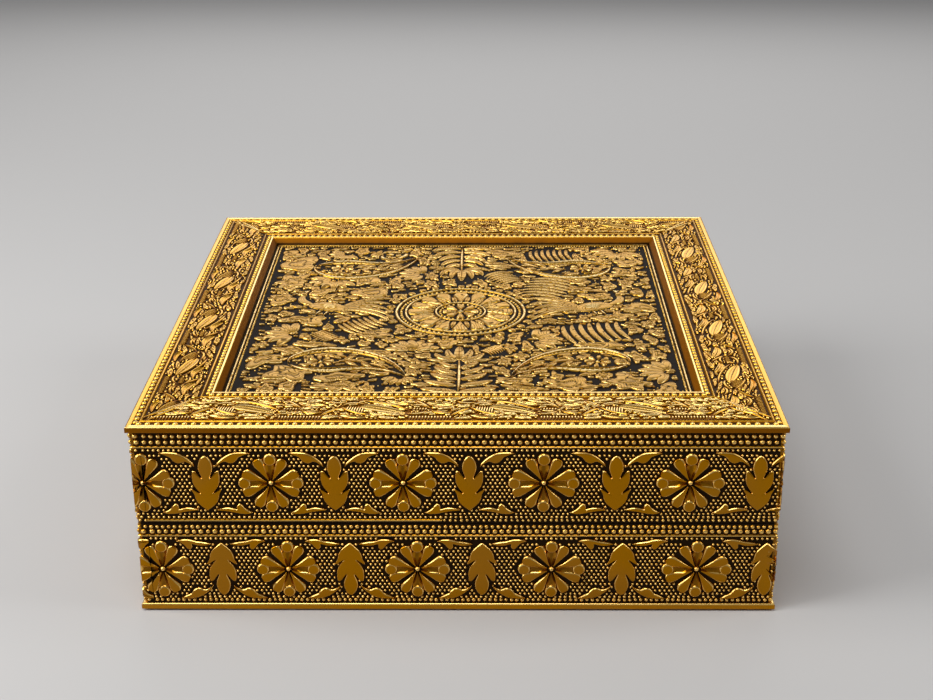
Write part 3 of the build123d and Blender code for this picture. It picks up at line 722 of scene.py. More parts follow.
# %% An unrolled side
class Side:
    """One side sheet, unrolled. turn counts quarter turns from the front."""

    def __init__(self, turn):
        self.turn = turn
        self.across, self.along = (body_wide, body_deep) if turn % 2 == 0 else (body_deep, body_wide)
        self.bend = self.across - CORNER_RADIUS
        self.start = TAB_WIDTH + TAB_GAP
        self.stop = self.bend + CORNER_RADIUS * pi / 2 + TAB_WIDTH - CORNER_RADIUS

    def place(self, points):
        """Rolls the sheet round its right corner, then turns it to its side."""
        u, z, out = points[..., 0], points[..., 1], points[..., 2]
        angle = np.clip((u - self.bend) / CORNER_RADIUS, 0, pi / 2)
        past = np.maximum(u - self.bend - CORNER_RADIUS * pi / 2, 0)
        reach = CORNER_RADIUS + out
        x = np.minimum(u, self.bend) - self.across / 2 + reach * np.sin(angle)
        y = CORNER_RADIUS - self.along / 2 - reach * np.cos(angle) + past
        for _ in range(self.turn):
            x, y = -y, x
        return np.stack([x, y, z], -1)

    def trim(self, rings, start=None):
        """Presses points beyond the sheet's ends onto them, and drops shells that lie outside."""
        start = start or self.start
        u = rings[..., 0]
        pressed = rings.copy()
        pressed[..., 0] = np.clip(u, start, self.stop)
        return pressed, (u > start + 0.1).any(axis=(1, 2)) & (u < self.stop - 0.1).any(axis=(1, 2))

    def trim_tab(self, rings):
        """The same, for what starts no earlier than the middle of the bend."""
        return self.trim(rings, self.bend + CORNER_RADIUS * pi / 4)


print("a front sheet is", round(Side(0).stop - Side(0).start, 1), "mm long, unrolled")

# %% [markdown]
# ### Plain strips
# The flat of the sheet and the thin fillets that divide it are strips with one section all the
# way along. The section is a closed loop, carried through a few stations, with more of them
# round the corner.

# %% Strips along a side
def strip(side, section, start=None, stop=None):
    """A loop of (height, out) points carried along the sheet between two distances."""
    start = side.start if start is None else start
    stop = side.stop if stop is None else stop
    corner = side.bend + np.linspace(-0.5, 1.5, 13) * CORNER_RADIUS * pi / 2
    stations = np.concatenate([[start], corner[(corner > start) & (corner < stop)], [stop]])
    loop = np.asarray(section, float)
    rings = np.empty((1, len(stations), len(loop), 3))
    rings[..., 0] = stations[None, :, None]
    rings[..., 1:] = loop[None, None]
    return rings


def corner_rub(side, rings):
    """The bend is rubbed a little: most in its middle, falling to 0 beyond its ends."""
    middle = side.bend + CORNER_RADIUS * pi / 4
    return np.clip(1.5 - np.abs(rings[..., 0] - middle) / (CORNER_RADIUS * pi / 4), 0, 0.4)


def flat_section(low, high):
    """The sheet itself, from its back to its face."""
    return [(high, 0), (low, 0), (low, -SHEET), (high, -SHEET)]


def fillet_section(middle, half, proud):
    """A roofed rib with softened edges: two slopes that rise about 50 degrees to a ridge."""
    slope = np.array([(half, -SINK), (half, 0.02), (half - 0.03, 0.06), (0.07, proud - 0.04), (0, proud)])
    return np.concatenate([slope, slope[-2::-1] * (-1, 1)]) + (middle, 0)


print("a fillet's section has", len(fillet_section(0, 0.5, 0.5)), "points")

# %% [markdown]
# ### One band
# A band is made in the order of its layers: the flat, the fillets, the rows of beads, the
# flowers, the leaves with their sprigs, and the dots in the room that is left. A stamping tool
# does it in one blow, but layers let each figure keep its crisp rim.

# %% Sizes of the flowers
FLOWER_RADIUS = 10.3
FLOWER_RISE = 0.9
PETAL_ANGLES = np.radians([27.5, 68, 113, 152, 208, 247, 292, 332.5])
PETAL_START = 1.2
PETAL_STOP = FLOWER_RADIUS - 0.9
PETAL_HALF = 2.1
SPOON_ANGLES = np.radians([0, 90, 180, 270])
SPOON_START = 1.1
SPOON_STOP = 7.3
SPOON_HALF = 1.6
KNOB_RADIUS = 2.25
HEART_RADIUS, HEART_RISE = 1.0, 1.1
LEAF_RISE = 0.75
print("a flower is", 2 * FLOWER_RADIUS, "mm across")


# %% Flowers
def add_flowers(shells, field, centres, widths):
    """Eight petals and four spoons round each centre, and a bead in the middle. widths
    stretches each flower along the sheet."""
    wide = np.column_stack([widths, np.ones(len(centres))])
    for angle in SPOON_ANGLES:
        way = np.array([sin(angle), cos(angle)]) * wide
        near, far = centres + way * SPOON_START, centres + way * SPOON_STOP
        shells.add(*SCOOP.press(near, (near + far) / 2, far, SPOON_HALF, FLOWER_RISE))
        knobs, rub = buttons(centres + way * (FLOWER_RADIUS - KNOB_RADIUS), KNOB_RADIUS, FLOWER_RISE)
        shells.add(knobs, rub)
        field.take_shells(knobs)
    for angle in PETAL_ANGLES:
        way = np.array([sin(angle), cos(angle)]) * wide
        near, far = centres + way * PETAL_START, centres + way * PETAL_STOP
        petals = PETAL.press(near, (near + far) / 2, far, PETAL_HALF, FLOWER_RISE * 0.95)
        shells.add(*petals)
        field.take_shells(petals[0])
    turn = np.arange(0, tau, 0.05)
    for radius in np.arange(0, 8, 0.15):
        field.take(centres[:, None] + np.stack([np.sin(turn), np.cos(turn)], -1) * radius)
    shells.add(*domes(centres, HEART_RADIUS, HEART_RISE, sides=12, levels=3))


# %% Leaves and sprigs
def add_sprigs(shells, field, centres, flip):
    """The lobed leaf, a swash by its bud and ivy by its foot, the same to the left and right."""
    for figure, hands in ((LEAF_FIGURE, (1,)), (SWASH, (-1, 1)), (IVY, (-1, 1))):
        for hand in hands:
            rings, rub = plates(figure, centres, LEAF_RISE, (hand, flip))
            shells.add(rings, rub)
            field.take_shells(rings, 3)


# %% [markdown]
# ### The two bands
# The lid's band and the base's band carry the same figures, but the base's are upside down and
# a little further along. Rows and fillets lie where the solids have their ribs. The flowers
# could be spaced evenly by a rule, but their spacing grows slightly along the real front, so
# they stand at places read off the photograph.

# %% Rows of the two bands
# A row of beads: its height, pitch, radius, rise, and the share of the sheet where it starts.
# A fillet: its height, half width, rise, shine, and the share of the sheet where it ends.
# Flowers: where each one stands along the sheet, and its stretch along it.
# All figures stand between the last row of beads and the first fillet, raised from the middle by
# the rise. A flip of -1 turns the leaves upside down.
lid_low, lid_high = box_mm("lid_front_sheet")[:, 2]
base_low, base_high = box_mm("base_front_sheet")[:, 2]
BANDS = {
    "lid": {
        "low": lid_low, "high": lid_high, "seed": 47, "flip": 1, "rise": 0.5,
        "beads": [(lid_high - 1.65, 2.2, 1.06, 0.98, 0), (lid_high - 3.75, 2.18, 1.0, 0.9, 0),
                  (lid_low + 0.9, 1.75, 0.62, 0.6, 0.47)],
        "fillets": [(lid_high - 5.4, 0.42, 0.48, 1.0, 1), (lid_low + 0.9, 0.5, 0.55, 1.0, 0.47)],
        "flowers": ((2.8, 42.6, 83.6, 127.2, 172.6), (0.99, 1.02, 1.06, 1.13, 1.08)),
        "leaves": (22.5, 62.4, 104.15, 149.5, 193.8),
    },
    "base": {
        "low": base_low, "high": base_high, "seed": 57, "flip": -1, "rise": -0.3,
        "beads": [(base_high - 1.2, 1.85, 0.78, 0.65, 0), (base_high - 2.85, 2.2, 1.0, 0.85, 0),
                  (base_low + 0.95, 1.72, 0.74, 0.66, 0)],
        "fillets": [(base_high - 4.25, 0.42, 0.48, 1.0, 1)],
        "flowers": ((6.65, 46.6, 87.6, 130.05, 176.0), (1.0, 1.0, 1.04, 1.08, 1.14)),
        "leaves": (25.7, 66.3, 108.05, 152.4, 197.75),
    },
}
print("bands", round(lid_high - lid_low, 2), "and", round(base_high - base_low, 2), "mm high")

# %% Room for the hinge barrels
BARREL_HEIGHT = box_mm("left_hinge_pin")[:, 2].mean()
BARREL_REACH = 2.4
BARREL_MARGIN = 0.5


def hinge_windows(side):
    """Stretches (start, stop) of a back sheet's seam edge that the hinge barrels need."""
    if side.turn != 2:
        return []
    pins = [box_mm(f"{name}_hinge_pin") for name in ("right", "left")]
    return [(side.across / 2 - pin[1, 0] - BARREL_MARGIN, side.across / 2 - pin[0, 0] + BARREL_MARGIN)
            for pin in pins]


def sheet_flats(side, low, high, windows):
    """The flat of the sheet. At the back its seam edge stops short of each barrel."""
    if not windows:
        return [strip(side, flat_section(low, high))]
    if low > BARREL_HEIGHT:
        edge = BARREL_HEIGHT + BARREL_REACH
        whole, cut = (edge, high), (low, edge)
    else:
        edge = BARREL_HEIGHT - BARREL_REACH
        whole, cut = (low, edge), (edge, high)
    marks = [side.start, *(mark for window in windows for mark in window), side.stop]
    between = [strip(side, flat_section(*cut), start, stop) for start, stop in zip(marks[::2], marks[1::2])]
    return [strip(side, flat_section(*whole)), *between]


print("hinge barrels at", round(BARREL_HEIGHT, 2), "mm")


# %% Fillets and rows of beads
def add_fillets(shells, side, fillets, windows):
    """The thin ribs along the band, broken where a hinge barrel is near."""
    for middle, half, proud, shine, share in fillets:
        section = fillet_section(middle, half, proud)
        rub = np.clip(3 * section[:, 1] / proud, 0, 1) * shine
        near_barrel = windows and abs(middle - BARREL_HEIGHT) < BARREL_REACH + half
        halt = side.stop * share
        gaps = [mark for window in windows for mark in window if mark < halt] if near_barrel else []
        marks = [side.start, *gaps] + [halt] * (len(gaps) % 2 == 0)
        for start, stop in zip(marks[::2], marks[1::2]):
            shells.add(strip(side, section, start, stop), rub[None, None, :])


def add_bead_rows(shells, side, beads, windows, rng):
    """Rows of beads a little uneven in place and size, with none at a hinge barrel."""
    for row, pitch, radius, height, share in beads:
        u = np.arange(max(side.start, side.stop * share) + pitch / 2, side.stop, pitch)
        if abs(row - BARREL_HEIGHT) < BARREL_REACH + radius * 0.6:
            for start, stop in windows:
                u = u[(u < start - radius * 0.5) | (u > stop + radius * 0.5)]
        centres = np.stack([u, np.full(len(u), row)], -1) + rng.uniform(-0.07, 0.07, (len(u), 2))
        scale = rng.uniform(0.88, 1.08, len(u))
        # Painted shade: each bead is darker on its lower side.
        shells.add(*domes(centres, radius * scale, height * scale, sides=12, levels=3, painted_shade_below=0.35))


# %% Figures of a band
def add_figures(shells, side, band, middle):
    """Flowers and leaves, and the next sheet's first flower where this one's tab carries it.
    Gives the field with what they cover."""
    extent = (0, band["low"]), (side.stop + 1, band["high"])
    field, tab = Field(*extent), Field(*extent)
    places, widths = band["flowers"]
    add_flowers(shells, field, np.column_stack([places, np.full(len(places), middle)]), np.array(widths))
    shells.trim = side.trim_tab
    next_first = side.across + places[0] + CORNER_RADIUS * (pi / 2 - 2)
    add_flowers(shells, tab, np.array([[next_first, middle]]), np.array(widths[:1]))
    shells.trim = side.trim
    bend = round((side.bend + CORNER_RADIUS * pi / 4) / field.cell)
    field.taken[bend:] |= tab.taken[bend:]
    leaves = np.column_stack([band["leaves"], np.full(len(band["leaves"]), middle)])
    add_sprigs(shells, field, leaves, band["flip"])
    return field


# %% Dots in the room that is left
DOT_PITCH_X, DOT_PITCH_Y = 1.46, 1.19
DOT_RADIUS, DOT_HEIGHT = 0.56, 0.6
EDGE_DOTS_LOW, EDGE_DOTS_HIGH = 1.15, 1.05


def add_dots(shells, side, field, bottom, top, rng):
    """A lattice of dots, and a row of slightly larger ones along its lower and upper edge."""
    low, high = (side.start + 0.3, bottom + 2.3), (side.stop - 0.3, top - 2.1)
    dots = lattice(low, high, DOT_PITCH_X, DOT_PITCH_Y, rng, 0.07)
    edge = np.arange(side.start + 0.6, side.stop - 0.3, DOT_PITCH_X * 1.08)
    rims = [np.stack([edge, np.full(len(edge), row)], -1)
            for row in (bottom + EDGE_DOTS_LOW, top - EDGE_DOTS_HIGH)]
    dots = np.concatenate([*rims, dots])
    dots = dots[field.free(dots)]
    scale = rng.uniform(0.88, 1.08, len(dots))
    scale[(dots[:, 1] < bottom + 1.5) | (dots[:, 1] > top - 1.4)] *= 1.12
    # Painted shade: each dot is darker on its lower side.
    shells.add(*domes(dots, DOT_RADIUS * scale, DOT_HEIGHT * scale, levels=3, painted_shade_below=0.35))


# %% Make the eight side sheets
def side_sheet(part, turn):
    """One stamped sheet, layer by layer."""
    band, side = BANDS[part], Side(turn)
    rng = np.random.default_rng(band["seed"] + turn)
    low, high = band["low"], band["high"]
    shells = Shells(side.place, side.trim)
    windows = hinge_windows(side)
    for rings in sheet_flats(side, low, high, windows):
        shells.add(rings, corner_rub(side, rings))
    add_fillets(shells, side, band["fillets"], windows)
    add_bead_rows(shells, side, band["beads"], windows, rng)
    bottom, top = band["beads"][-1][0], band["fillets"][0][0]
    field = add_figures(shells, side, band, (bottom + top) / 2 + band["rise"])
    field.grow(0.2)
    add_dots(shells, side, field, bottom, top, rng)
    node = f"{part}_{SIDES[turn]}_sheet"
    shells.piece(f"{part}_{SIDES[turn]}_stamped_sheet", band_gold, part, "antique_gold_sheet", node)


for part in BANDS:
    for turn in range(4):
        side_sheet(part, turn)

# %% [markdown]
# ## The frame on the lid
# Four rails meet in mitres. On the real lid each is one sheet, stamped flat and folded over a
# wooden rail, so its pattern is drawn flat as well, in three numbers: the distance along it
# from its middle, the distance in from the slab's edge, and the height above its top. Each end
# is cut by the plane through the slab's corner and the rim's corner.

# %% Rail coordinates
slab_low, slab_high = box_mm("lid_front_rail_sheet")
slab_wide = slab_high[0] - slab_low[0]
slab_deep = -2 * slab_low[1]
SLAB_TOP = 65.0
SLAB_BOTTOM = lid_high
SIDE_RAIL, CROSS_RAIL = 23.3, 26.8


class Rail:
    """One mitred rail. turn counts quarter turns from the front."""

    def __init__(self, turn):
        self.turn = turn
        cross = turn % 2 == 0
        self.across, self.away = (slab_wide, slab_deep / 2) if cross else (slab_deep, slab_wide / 2)
        self.width, self.other = (CROSS_RAIL, SIDE_RAIL) if cross else (SIDE_RAIL, CROSS_RAIL)
        self.stretch = self.width / SIDE_RAIL

    def limit(self, inward):
        """How far from its middle the rail reaches at a distance in from the edge."""
        return self.across / 2 - inward * self.other / self.width

    def place(self, points):
        """Lays the rail on the slab's edge and turns it to its side."""
        x, y, z = points[..., 0], points[..., 1] - self.away, points[..., 2] + SLAB_TOP
        for _ in range(self.turn):
            x, y = -y, x
        return np.stack([x, y, z], -1)

    def trim(self, rings):
        """Presses what passes the mitres back onto them."""
        limit = self.limit(rings[..., 1])
        pressed = rings.copy()
        pressed[..., 0] = np.clip(rings[..., 0], -limit, limit)
        short_of_end, past_start = rings[..., 0] < limit - 0.05, rings[..., 0] > 0.05 - limit
        return pressed, short_of_end.any(axis=(1, 2)) & past_start.any(axis=(1, 2))

    def bar(self, section):
        """A closed loop of (inward, height) points carried from mitre to mitre."""
        loop = np.asarray(section, float)
        limit = self.limit(loop[:, 0])
        rings = np.empty((1, 2, len(loop), 3))
        rings[0, 0, :, 0], rings[0, 1, :, 0] = -limit, limit
        rings[..., 1:] = loop
        return rings


print("slab", round(slab_wide, 2), "by", round(slab_deep, 2), "mm")

# %% [markdown]
# ### The rail's skin
# The skin has channels for its two rows of beads and a sunk bed for its foliage. It is one
# section carried from mitre to mitre, because all that a rail has along its whole length can be
# read off one cut through it. Its outer edge and the rim at the recess are rubbed bright, and
# the channels are dark.

# %% Rail skin
SLOPE_RUN, SLOPE_DROP = 1.7, 2.1
SKIN_FOOT = 61.8
BED_DROP = 0.3
OUTER_BEADS, OUTER_FILLET, INNER_FILLET, INNER_BEADS = 2.6, 4.15, 19.9, 21.7
RIDGE = [(-0.3, 0.12, 0.55), (0, 0.2, 0.62), (0.3, 0.12, 0.55)]


def rail_skin(rail, bed, rim):
    """Section of the skin, outer edge first, in points (inward, height, rub), then its inside.
    The rubs of the bed and of the flat outer rim are given: each is wear and painted light for this rail."""
    wider, wide, foot = rail.stretch, rail.width, rail.width + SLOPE_RUN
    outer, inner = (
        [(middle * wider + step, height, rub) for step, height, rub in RIDGE]
        for middle in (OUTER_FILLET, INNER_FILLET))
    face = [
        (0.0, SLAB_BOTTOM - SLAB_TOP, 0.33), (0.0, -0.38, 0.33), (0.02, -0.3, 0.6), (0.1, -0.14, 1.0),
        (0.3, -0.03, rim), (0.6, 0.0, rim), (1.68 * wider, 0.0, rim), (1.75 * wider, -0.06, 0.8),
        (1.85 * wider, -BED_DROP, 0.1), (3.5 * wider, -BED_DROP, 0.1),
        (OUTER_FILLET * wider - 0.45, -0.05, 0.4), *outer, (OUTER_FILLET * wider + 0.5, -BED_DROP, bed),
        (INNER_FILLET * wider - 0.5, -BED_DROP, bed), *inner, (INNER_FILLET * wider + 0.45, -BED_DROP, 0.1),
        (wide - 0.7, -BED_DROP, 0.1), (wide - 0.6, -0.02, 0.8), (wide - 0.1, 0.0, 1.0),
        (wide + 0.12, -0.12, 0.7), (wide + 0.3, -0.4, 0.34),
        (foot - 0.15, 0.15 - SLOPE_DROP, 0.22), (foot, -SLOPE_DROP, 0.1),
        (foot, SKIN_FOOT - SLAB_TOP, 0.1),
    ]
    inside = [
        (foot - SHEET, SKIN_FOOT - SLAB_TOP, 0.1), (foot - SHEET, -SLOPE_DROP - SHEET / 2, 0.1),
        (wide - SHEET / 2, -SHEET, 0.1), (SHEET, -SHEET, 0.1), (SHEET, SLAB_BOTTOM - SLAB_TOP, 0.2),
    ]
    loop = np.array(face + inside)
    return loop[:, :2], loop[:, 2]


print("the skin's section has", len(rail_skin(Rail(0), 0, 0)[0]), "points")

# %% [markdown]
# ### Foliage that fills the bed
# The foliage repeats about every 40 mm: comb leaves, a long rimmed leaf sloping across the rail, a
# smaller leaf over it, and a knot of curls. Small leaves could be drawn one by one in between,
# but there are hundreds. So the room is paved instead, as crazy paving is laid: each plate
# grows from a seed until it meets its neighbours or a leaf that is there already.

# %% Rimmed leaf and stamping
RIMMED_ACROSS = np.array([1, 0.9, 0.72, 0.5, 0.15, 0, -0.15, -0.5, -0.72, -0.9, -1])
RIMMED_SECTION = np.array([0, 0.85, 1, 0.3, 0.35, 0.9, 0.35, 0.3, 1, 0.85, 0])
RIMMED_RUBS = np.array([0, 0.9, 1, 0.6, 0.75, 1, 0.75, 0.6, 1, 0.9, 0])
RIMMED_LEAF = leaf_die(11, 0.8, RIMMED_SECTION, RIMMED_ACROSS, 0.6, RIMMED_RUBS)


def stamp(shells, field, die, strokes, rise, shine=1.0, move=(0, 0), scale=(1, 1)):
    """Presses one die along strokes (near, bend, far, half width), scaled and moved, and takes
    their room. shine scales their rub."""
    ends = [np.array([stroke[k] for stroke in strokes], float) * scale + move for k in range(3)]
    rings, rub, start, end = die.press(*ends, np.array([stroke[3] for stroke in strokes]), rise)
    shells.add(rings, rub * shine, start, end)
    field.take_shells(rings)


print("a rimmed leaf has", len(RIMMED_ACROSS), "points across")


# %% Seeds and rays of the paving
def paving_rays(reach, pitch, points, rng):
    """Seeds in a shaken lattice, the directions of the rays from each, and where the rays end:
    halfway to the nearest neighbours, at the length |n|^2 / (2 d . n) for the way n to a
    neighbour and the ray's own direction d."""
    seeds = lattice(-reach, reach, pitch, pitch * 0.87, rng, pitch * 0.3)
    angle = np.arange(points) * tau / points
    rays = np.stack([np.cos(angle), np.sin(angle)], -1)
    apart = np.linalg.norm(seeds[None] - seeds[:, None], axis=-1)
    near = np.argsort(apart, axis=1)[:, 1:13]
    ways = seeds[near] - seeds[:, None]
    facing = np.maximum((ways[:, None] * rays[None, :, None]).sum(-1), 1e-6)
    length = ((ways ** 2).sum(-1)[:, None] / 2 / facing).min(axis=-1)
    return seeds, angle, seeds[:, None] + rays * length[..., None]


def swayed(points, stretch, sway, centre):
    """Stretches flat points and lets them sway: y by sway * sin(x / (3.1 sway) + y / 20), and then
    x by 0.6 sway * sin(y / (2.3 sway)) for the new y."""
    x, y = points[..., 0] * stretch[0], points[..., 1] * stretch[1]
    bent = y + sway * np.sin(x / (sway * 3.1) + y * 0.05)
    return np.stack([x + sway * 0.6 * np.sin(bent / (sway * 2.3)), bent], -1) + centre


# %% Paving
SMALLEST_RAY = 0.16


def pave(shells, field, area, rng, *, pitch, stretch, sway, rise, gap, bevel, points, share, lobed=0.12,
         lined=False, top=0.7, smooth=1):
    """Fills the room that is left with flat plates. A ray ends at its neighbours or before
    something that stands there, less a share of the gap. The lengths are smoothed, and then
    shortened by waves and teeth, so that each outline is a little lobed. share of the plates
    are kept at random, and only those with no ray too short."""
    low, high = np.array(area)
    seeds, angle, ends = paving_rays((high - low) / 2 / stretch + pitch * 3, pitch, points, rng)
    middle = swayed(seeds, stretch, sway, (low + high) / 2)
    spokes = swayed(ends, stretch, sway, (low + high) / 2) - middle[:, None]
    full = np.linalg.norm(spokes, axis=-1)
    shares = np.linspace(0.05, 1, 20)
    samples = middle[:, None, None] + spokes[:, :, None] * (shares * 1.02)[:, None]
    free = field.free(samples).reshape(samples.shape[:-1])
    free &= (samples > low).all(-1) & (samples < high).all(-1)
    clear = np.where(free.all(-1), 1.0, shares[np.argmin(free, axis=-1)] - 0.03)
    length = full * clear - gap * 0.55
    for _ in range(smooth):
        length = np.minimum(length, (np.roll(length, 1, 1) + 2 * length + np.roll(length, -1, 1)) / 4)
    lobes, phase = rng.integers(3, 7, len(seeds))[:, None], rng.uniform(0, tau, (len(seeds), 1))
    teeth = 0.4 / smooth * (1 + np.cos(points // 3 * angle))
    length = length * (1 - lobed * (1 + np.cos(lobes * angle + phase) + teeth))
    keep = free[:, :, 0].all(-1) & (length.min(-1) > SMALLEST_RAY) & (length.mean(-1) > 0.16 * pitch)
    keep &= rng.uniform(size=len(seeds)) < share
    middle, spokes, length, full = middle[keep], spokes[keep], length[keep], full[keep]
    edge = middle[:, None] + spokes * (length / full)[..., None]
    shells.add(*cell_plates(middle, edge, rise, bevel, lined, top))
    rays = (edge - middle[:, None])[:, :, None]
    field.take(middle[:, None, None] + rays * np.linspace(0, 1.1, 12)[:, None])


def pack_dots(shells, field, area, radius, height, tries, rng, gap=0.12):
    """Little domes in what room is left."""
    centres = rng.uniform(*area, (tries, 2))
    turn = np.arange(10) * tau / 10
    ring = np.stack([np.cos(turn), np.sin(turn)], -1)
    disc = np.concatenate([ring, ring * 0.5, [(0, 0)]])
    kept = [index for index in range(tries) if field.claim(centres[index] + disc * (radius + gap))]
    shells.add(*domes(centres[kept], radius, height))


print("paving plates have rays of", SMALLEST_RAY, "mm or more")

# %% [markdown]
# ### One rail
# The repeat of the foliage is written down in millimetres for the wide rails, and pressed a
# little narrower on the side rails. Light falls on each rail in its own way, and that is painted
# into its colour: the rubs of its beds, rim and leaves are set rail by rail, partly as wear and
# partly as painted light and shade.

# %% Strokes of the foliage
REPEAT = 40.5
REPEAT_START = 4.0
BED_START = 5.75
rimmed = [((6.2, 9.6), (13.5, 7.6), (20.4, 4.3), 2.25), ((14.2, 14.0), (17.5, 9.6), (22.6, 11.2), 1.35),
          ((27.0, 12.8), (31.0, 9.0), (36.2, 10.4), 1.5), ((0.2, 3.0), (3.4, 0.2), (8.6, 1.5), 1.0)]
lines = [((0.0, 9.2), (4.8, 3.8), (9.4, 3.6), 0.5), ((0.2, 9.8), (3.6, 13.4), (8.0, 10.9), 0.45),
         ((5.6, 13.9), (14.0, 13.2), (21.6, 6.6), 0.5), ((20.8, 4.4), (25.0, 2.6), (27.4, 6.2), 0.45),
         ((21.8, 9.6), (24.8, 11.6), (27.2, 9.0), 0.45), ((23.0, 13.9), (25.6, 11.8), (28.2, 8.0), 0.42),
         ((28.4, 6.8), (31.0, 2.6), (35.2, 5.6), 0.55), ((29.8, 6.4), (31.6, 4.4), (33.8, 6.6), 0.4),
         ((34.8, 2.6), (36.8, 6.2), (40.6, 8.2), 0.5), ((36.4, 13.6), (38.6, 10.6), (42.8, 12.6), 0.45)]
comb = [((1.9 + 0.8 * tooth, 5.3 - 0.28 * tooth), (2.1 + 0.8 * tooth, 7.0),
         (2.5 + 0.8 * tooth, 9.9 - 0.1 * tooth), 0.27) for tooth in range(7)]
comb += [((22.0 + 0.95 * tooth, 0.3), (22.2 + 0.95 * tooth, 1.4),
          (22.1 + 0.95 * tooth, 2.4 + 0.2 * (tooth % 3)), 0.3) for tooth in range(14)]
comb += [((23.0 + 0.9 * tooth, 6.4), (23.1 + 0.9 * tooth, 7.4),
          (23.4 + 0.9 * tooth, 8.4), 0.28) for tooth in range(5)]
print("strokes in a repeat:", len(rimmed) + len(lines) + len(comb))

# %% How each rail is rubbed, shaded in paint and paved
# Front, right, back and left rail: rubs of lines and plates, bed, outer rim and rimmed leaves.
# Each is partly wear and partly painted light and shade for how the light falls on that rail.
RAIL_WEAR_AND_LIGHT = (1.0, 0.7, 0.74, 0.64)
BED_WEAR_AND_LIGHT = (0.3, 0.1, 0.2, 0.1)
RIM_WEAR_AND_LIGHT = (1.0, 0.62, 1.0, 0.7)
LEAF_WEAR_AND_LIGHT = (1.0, 0.82, 0.88, 0.78)
RAIL_PAVING = (
    dict(pitch=3.0, stretch=(2.5, 0.75), sway=2.6, rise=0.45, gap=0.36, bevel=0.36, points=24, share=0.9,
         lobed=0.1, lined=True),
    dict(pitch=1.7, stretch=(1.8, 0.8), sway=1.6, rise=0.42, gap=0.3, bevel=0.35, points=15, share=0.9,
         lobed=0.08),
    dict(pitch=1.1, stretch=(1.3, 0.9), sway=1.2, rise=0.38, gap=0.2, bevel=0.3, points=10, share=0.95),
)
RAIL_BEAD_RADIUS, RAIL_BEAD_RISE = 0.95, 0.74
MITRE_INSET = 0.75
RAIL_SEED = 41
print("paving plates are", *(size["pitch"] for size in RAIL_PAVING), "mm apart before they are stretched")


# %% Make the four rail sheets
def rail_beads(shells, rail, rng):
    """The outer and the inner row, each in its channel."""
    for inward, pitch in ((OUTER_BEADS * rail.stretch, 2.85), (INNER_BEADS * rail.stretch, 2.38)):
        reach = rail.limit(inward) - 1.2
        count = round(2 * reach / pitch) + 1
        beads = np.stack([np.linspace(-reach, reach, count), np.full(count, inward)], -1)
        beads += rng.uniform(-0.06, 0.06, beads.shape)
        radius = RAIL_BEAD_RADIUS * rng.uniform(0.93, 1.06, count)
        rings, rub, start, end = domes(beads, radius, RAIL_BEAD_RISE, 12, 3, stretch=1.12)
        lowered = (0, 0, BED_DROP)
        shells.add(rings - lowered, rub, start, end - lowered)


def rail_sheet(turn, rng):
    """One stamped rail: skin, beads, mitre lines, leaves and paving."""
    # This rail's rubs hold painted light and shade as well as wear.
    rail, rub = Rail(turn), RAIL_WEAR_AND_LIGHT[turn]
    shells = Shells(rail.place, rail.trim)
    section, skin_rub = rail_skin(rail, BED_WEAR_AND_LIGHT[turn], RIM_WEAR_AND_LIGHT[turn])
    shells.add(rail.bar(section), skin_rub[None, None, :])
    rail_beads(shells, rail, rng)
    low, high = OUTER_FILLET * rail.stretch + 0.6, INNER_FILLET * rail.stretch - 0.6
    field = Field((-rail.across / 2 - 1, 0), (rail.across / 2 + 1, rail.width))
    inward = ((low, low - 1.2), ((low + high) / 2, (low + high) / 2), (high, high + 1.2))
    mitres = [(*((hand * (rail.limit(cut) - MITRE_INSET), spot) for cut, spot in inward), 0.5)
              for hand in (-1, 1)]
    stamp(shells, field, STROKE, mitres, 0.42)
    scale = (1, rail.width / CROSS_RAIL)
    for repeat in range(-3, 3):
        move = (repeat * REPEAT + REPEAT_START, BED_START * rail.width / CROSS_RAIL)
        stamp(shells, field, RIMMED_LEAF, rimmed, 0.42, LEAF_WEAR_AND_LIGHT[turn], move, scale)
        stamp(shells, field, STROKE, lines, 0.4, rub + 0.03, move, scale)
        stamp(shells, field, STROKE, comb, 0.34, rub, move, scale)
    area = ((-rail.across / 2, low + 0.2), (rail.across / 2, high - 0.2))
    for size in RAIL_PAVING:
        pave(shells, field, area, rng, top=rub, **size)
    name = SIDES[turn]
    shells.piece(f"lid_{name}_stamped_rail", frame_gold, "lid", "frame_gold_sheet", f"lid_{name}_rail_sheet")


for turn in range(4):
    rail_sheet(turn, np.random.default_rng(RAIL_SEED + turn))

# %% [markdown]
# ## The panel in the recess
# The panel is one stamped sheet with a lotus in the middle, four mangoes that curl towards it, a
# bird to its left and right, and a plant before and behind it, all on a dark ground. A height
# map would make such a picture from grey tones, but its edges would be soft. The same dies as
# before give it crisp strokes.

# %% Panel parts
panel_low, panel_high = box_mm("lid_relief_panel")
PANEL_GAUGE = 0.15
GROUND = panel_low[2] + PANEL_GAUGE
CREST = panel_high[2] - GROUND - 0.01
MANGO_REACH = 47.0


def on_panel(points):
    """Panel coordinates have their origin in the middle of the ground."""
    return points + (0, 0, GROUND)


def turned(points, angle, mirror=(1, 1), move=(0, 0)):
    """Turns flat points about the origin, mirrors them and moves them."""
    points = np.asarray(points, float)
    x = points[..., 0] * cos(angle) - points[..., 1] * sin(angle)
    y = points[..., 0] * sin(angle) + points[..., 1] * cos(angle)
    return np.stack([x, y], -1) * mirror + move


def placed(strokes, angle, mirror=(1, 1), move=(0, 0)):
    """Strokes turned, mirrored and moved."""
    return [(*(turned(point, angle, mirror, move) for point in stroke[:3]), stroke[3]) for stroke in strokes]


def ray_strokes(count, near, far, half, offset=0.0, middle=(0, 0)):
    """Strokes out from a middle, all round."""
    angles = (np.arange(count) + offset) * tau / count
    rays = np.stack([np.sin(angles), np.cos(angles)], -1)
    return [(ray * near + middle, ray * (near + far) / 2 + middle, ray * far + middle, half) for ray in rays]


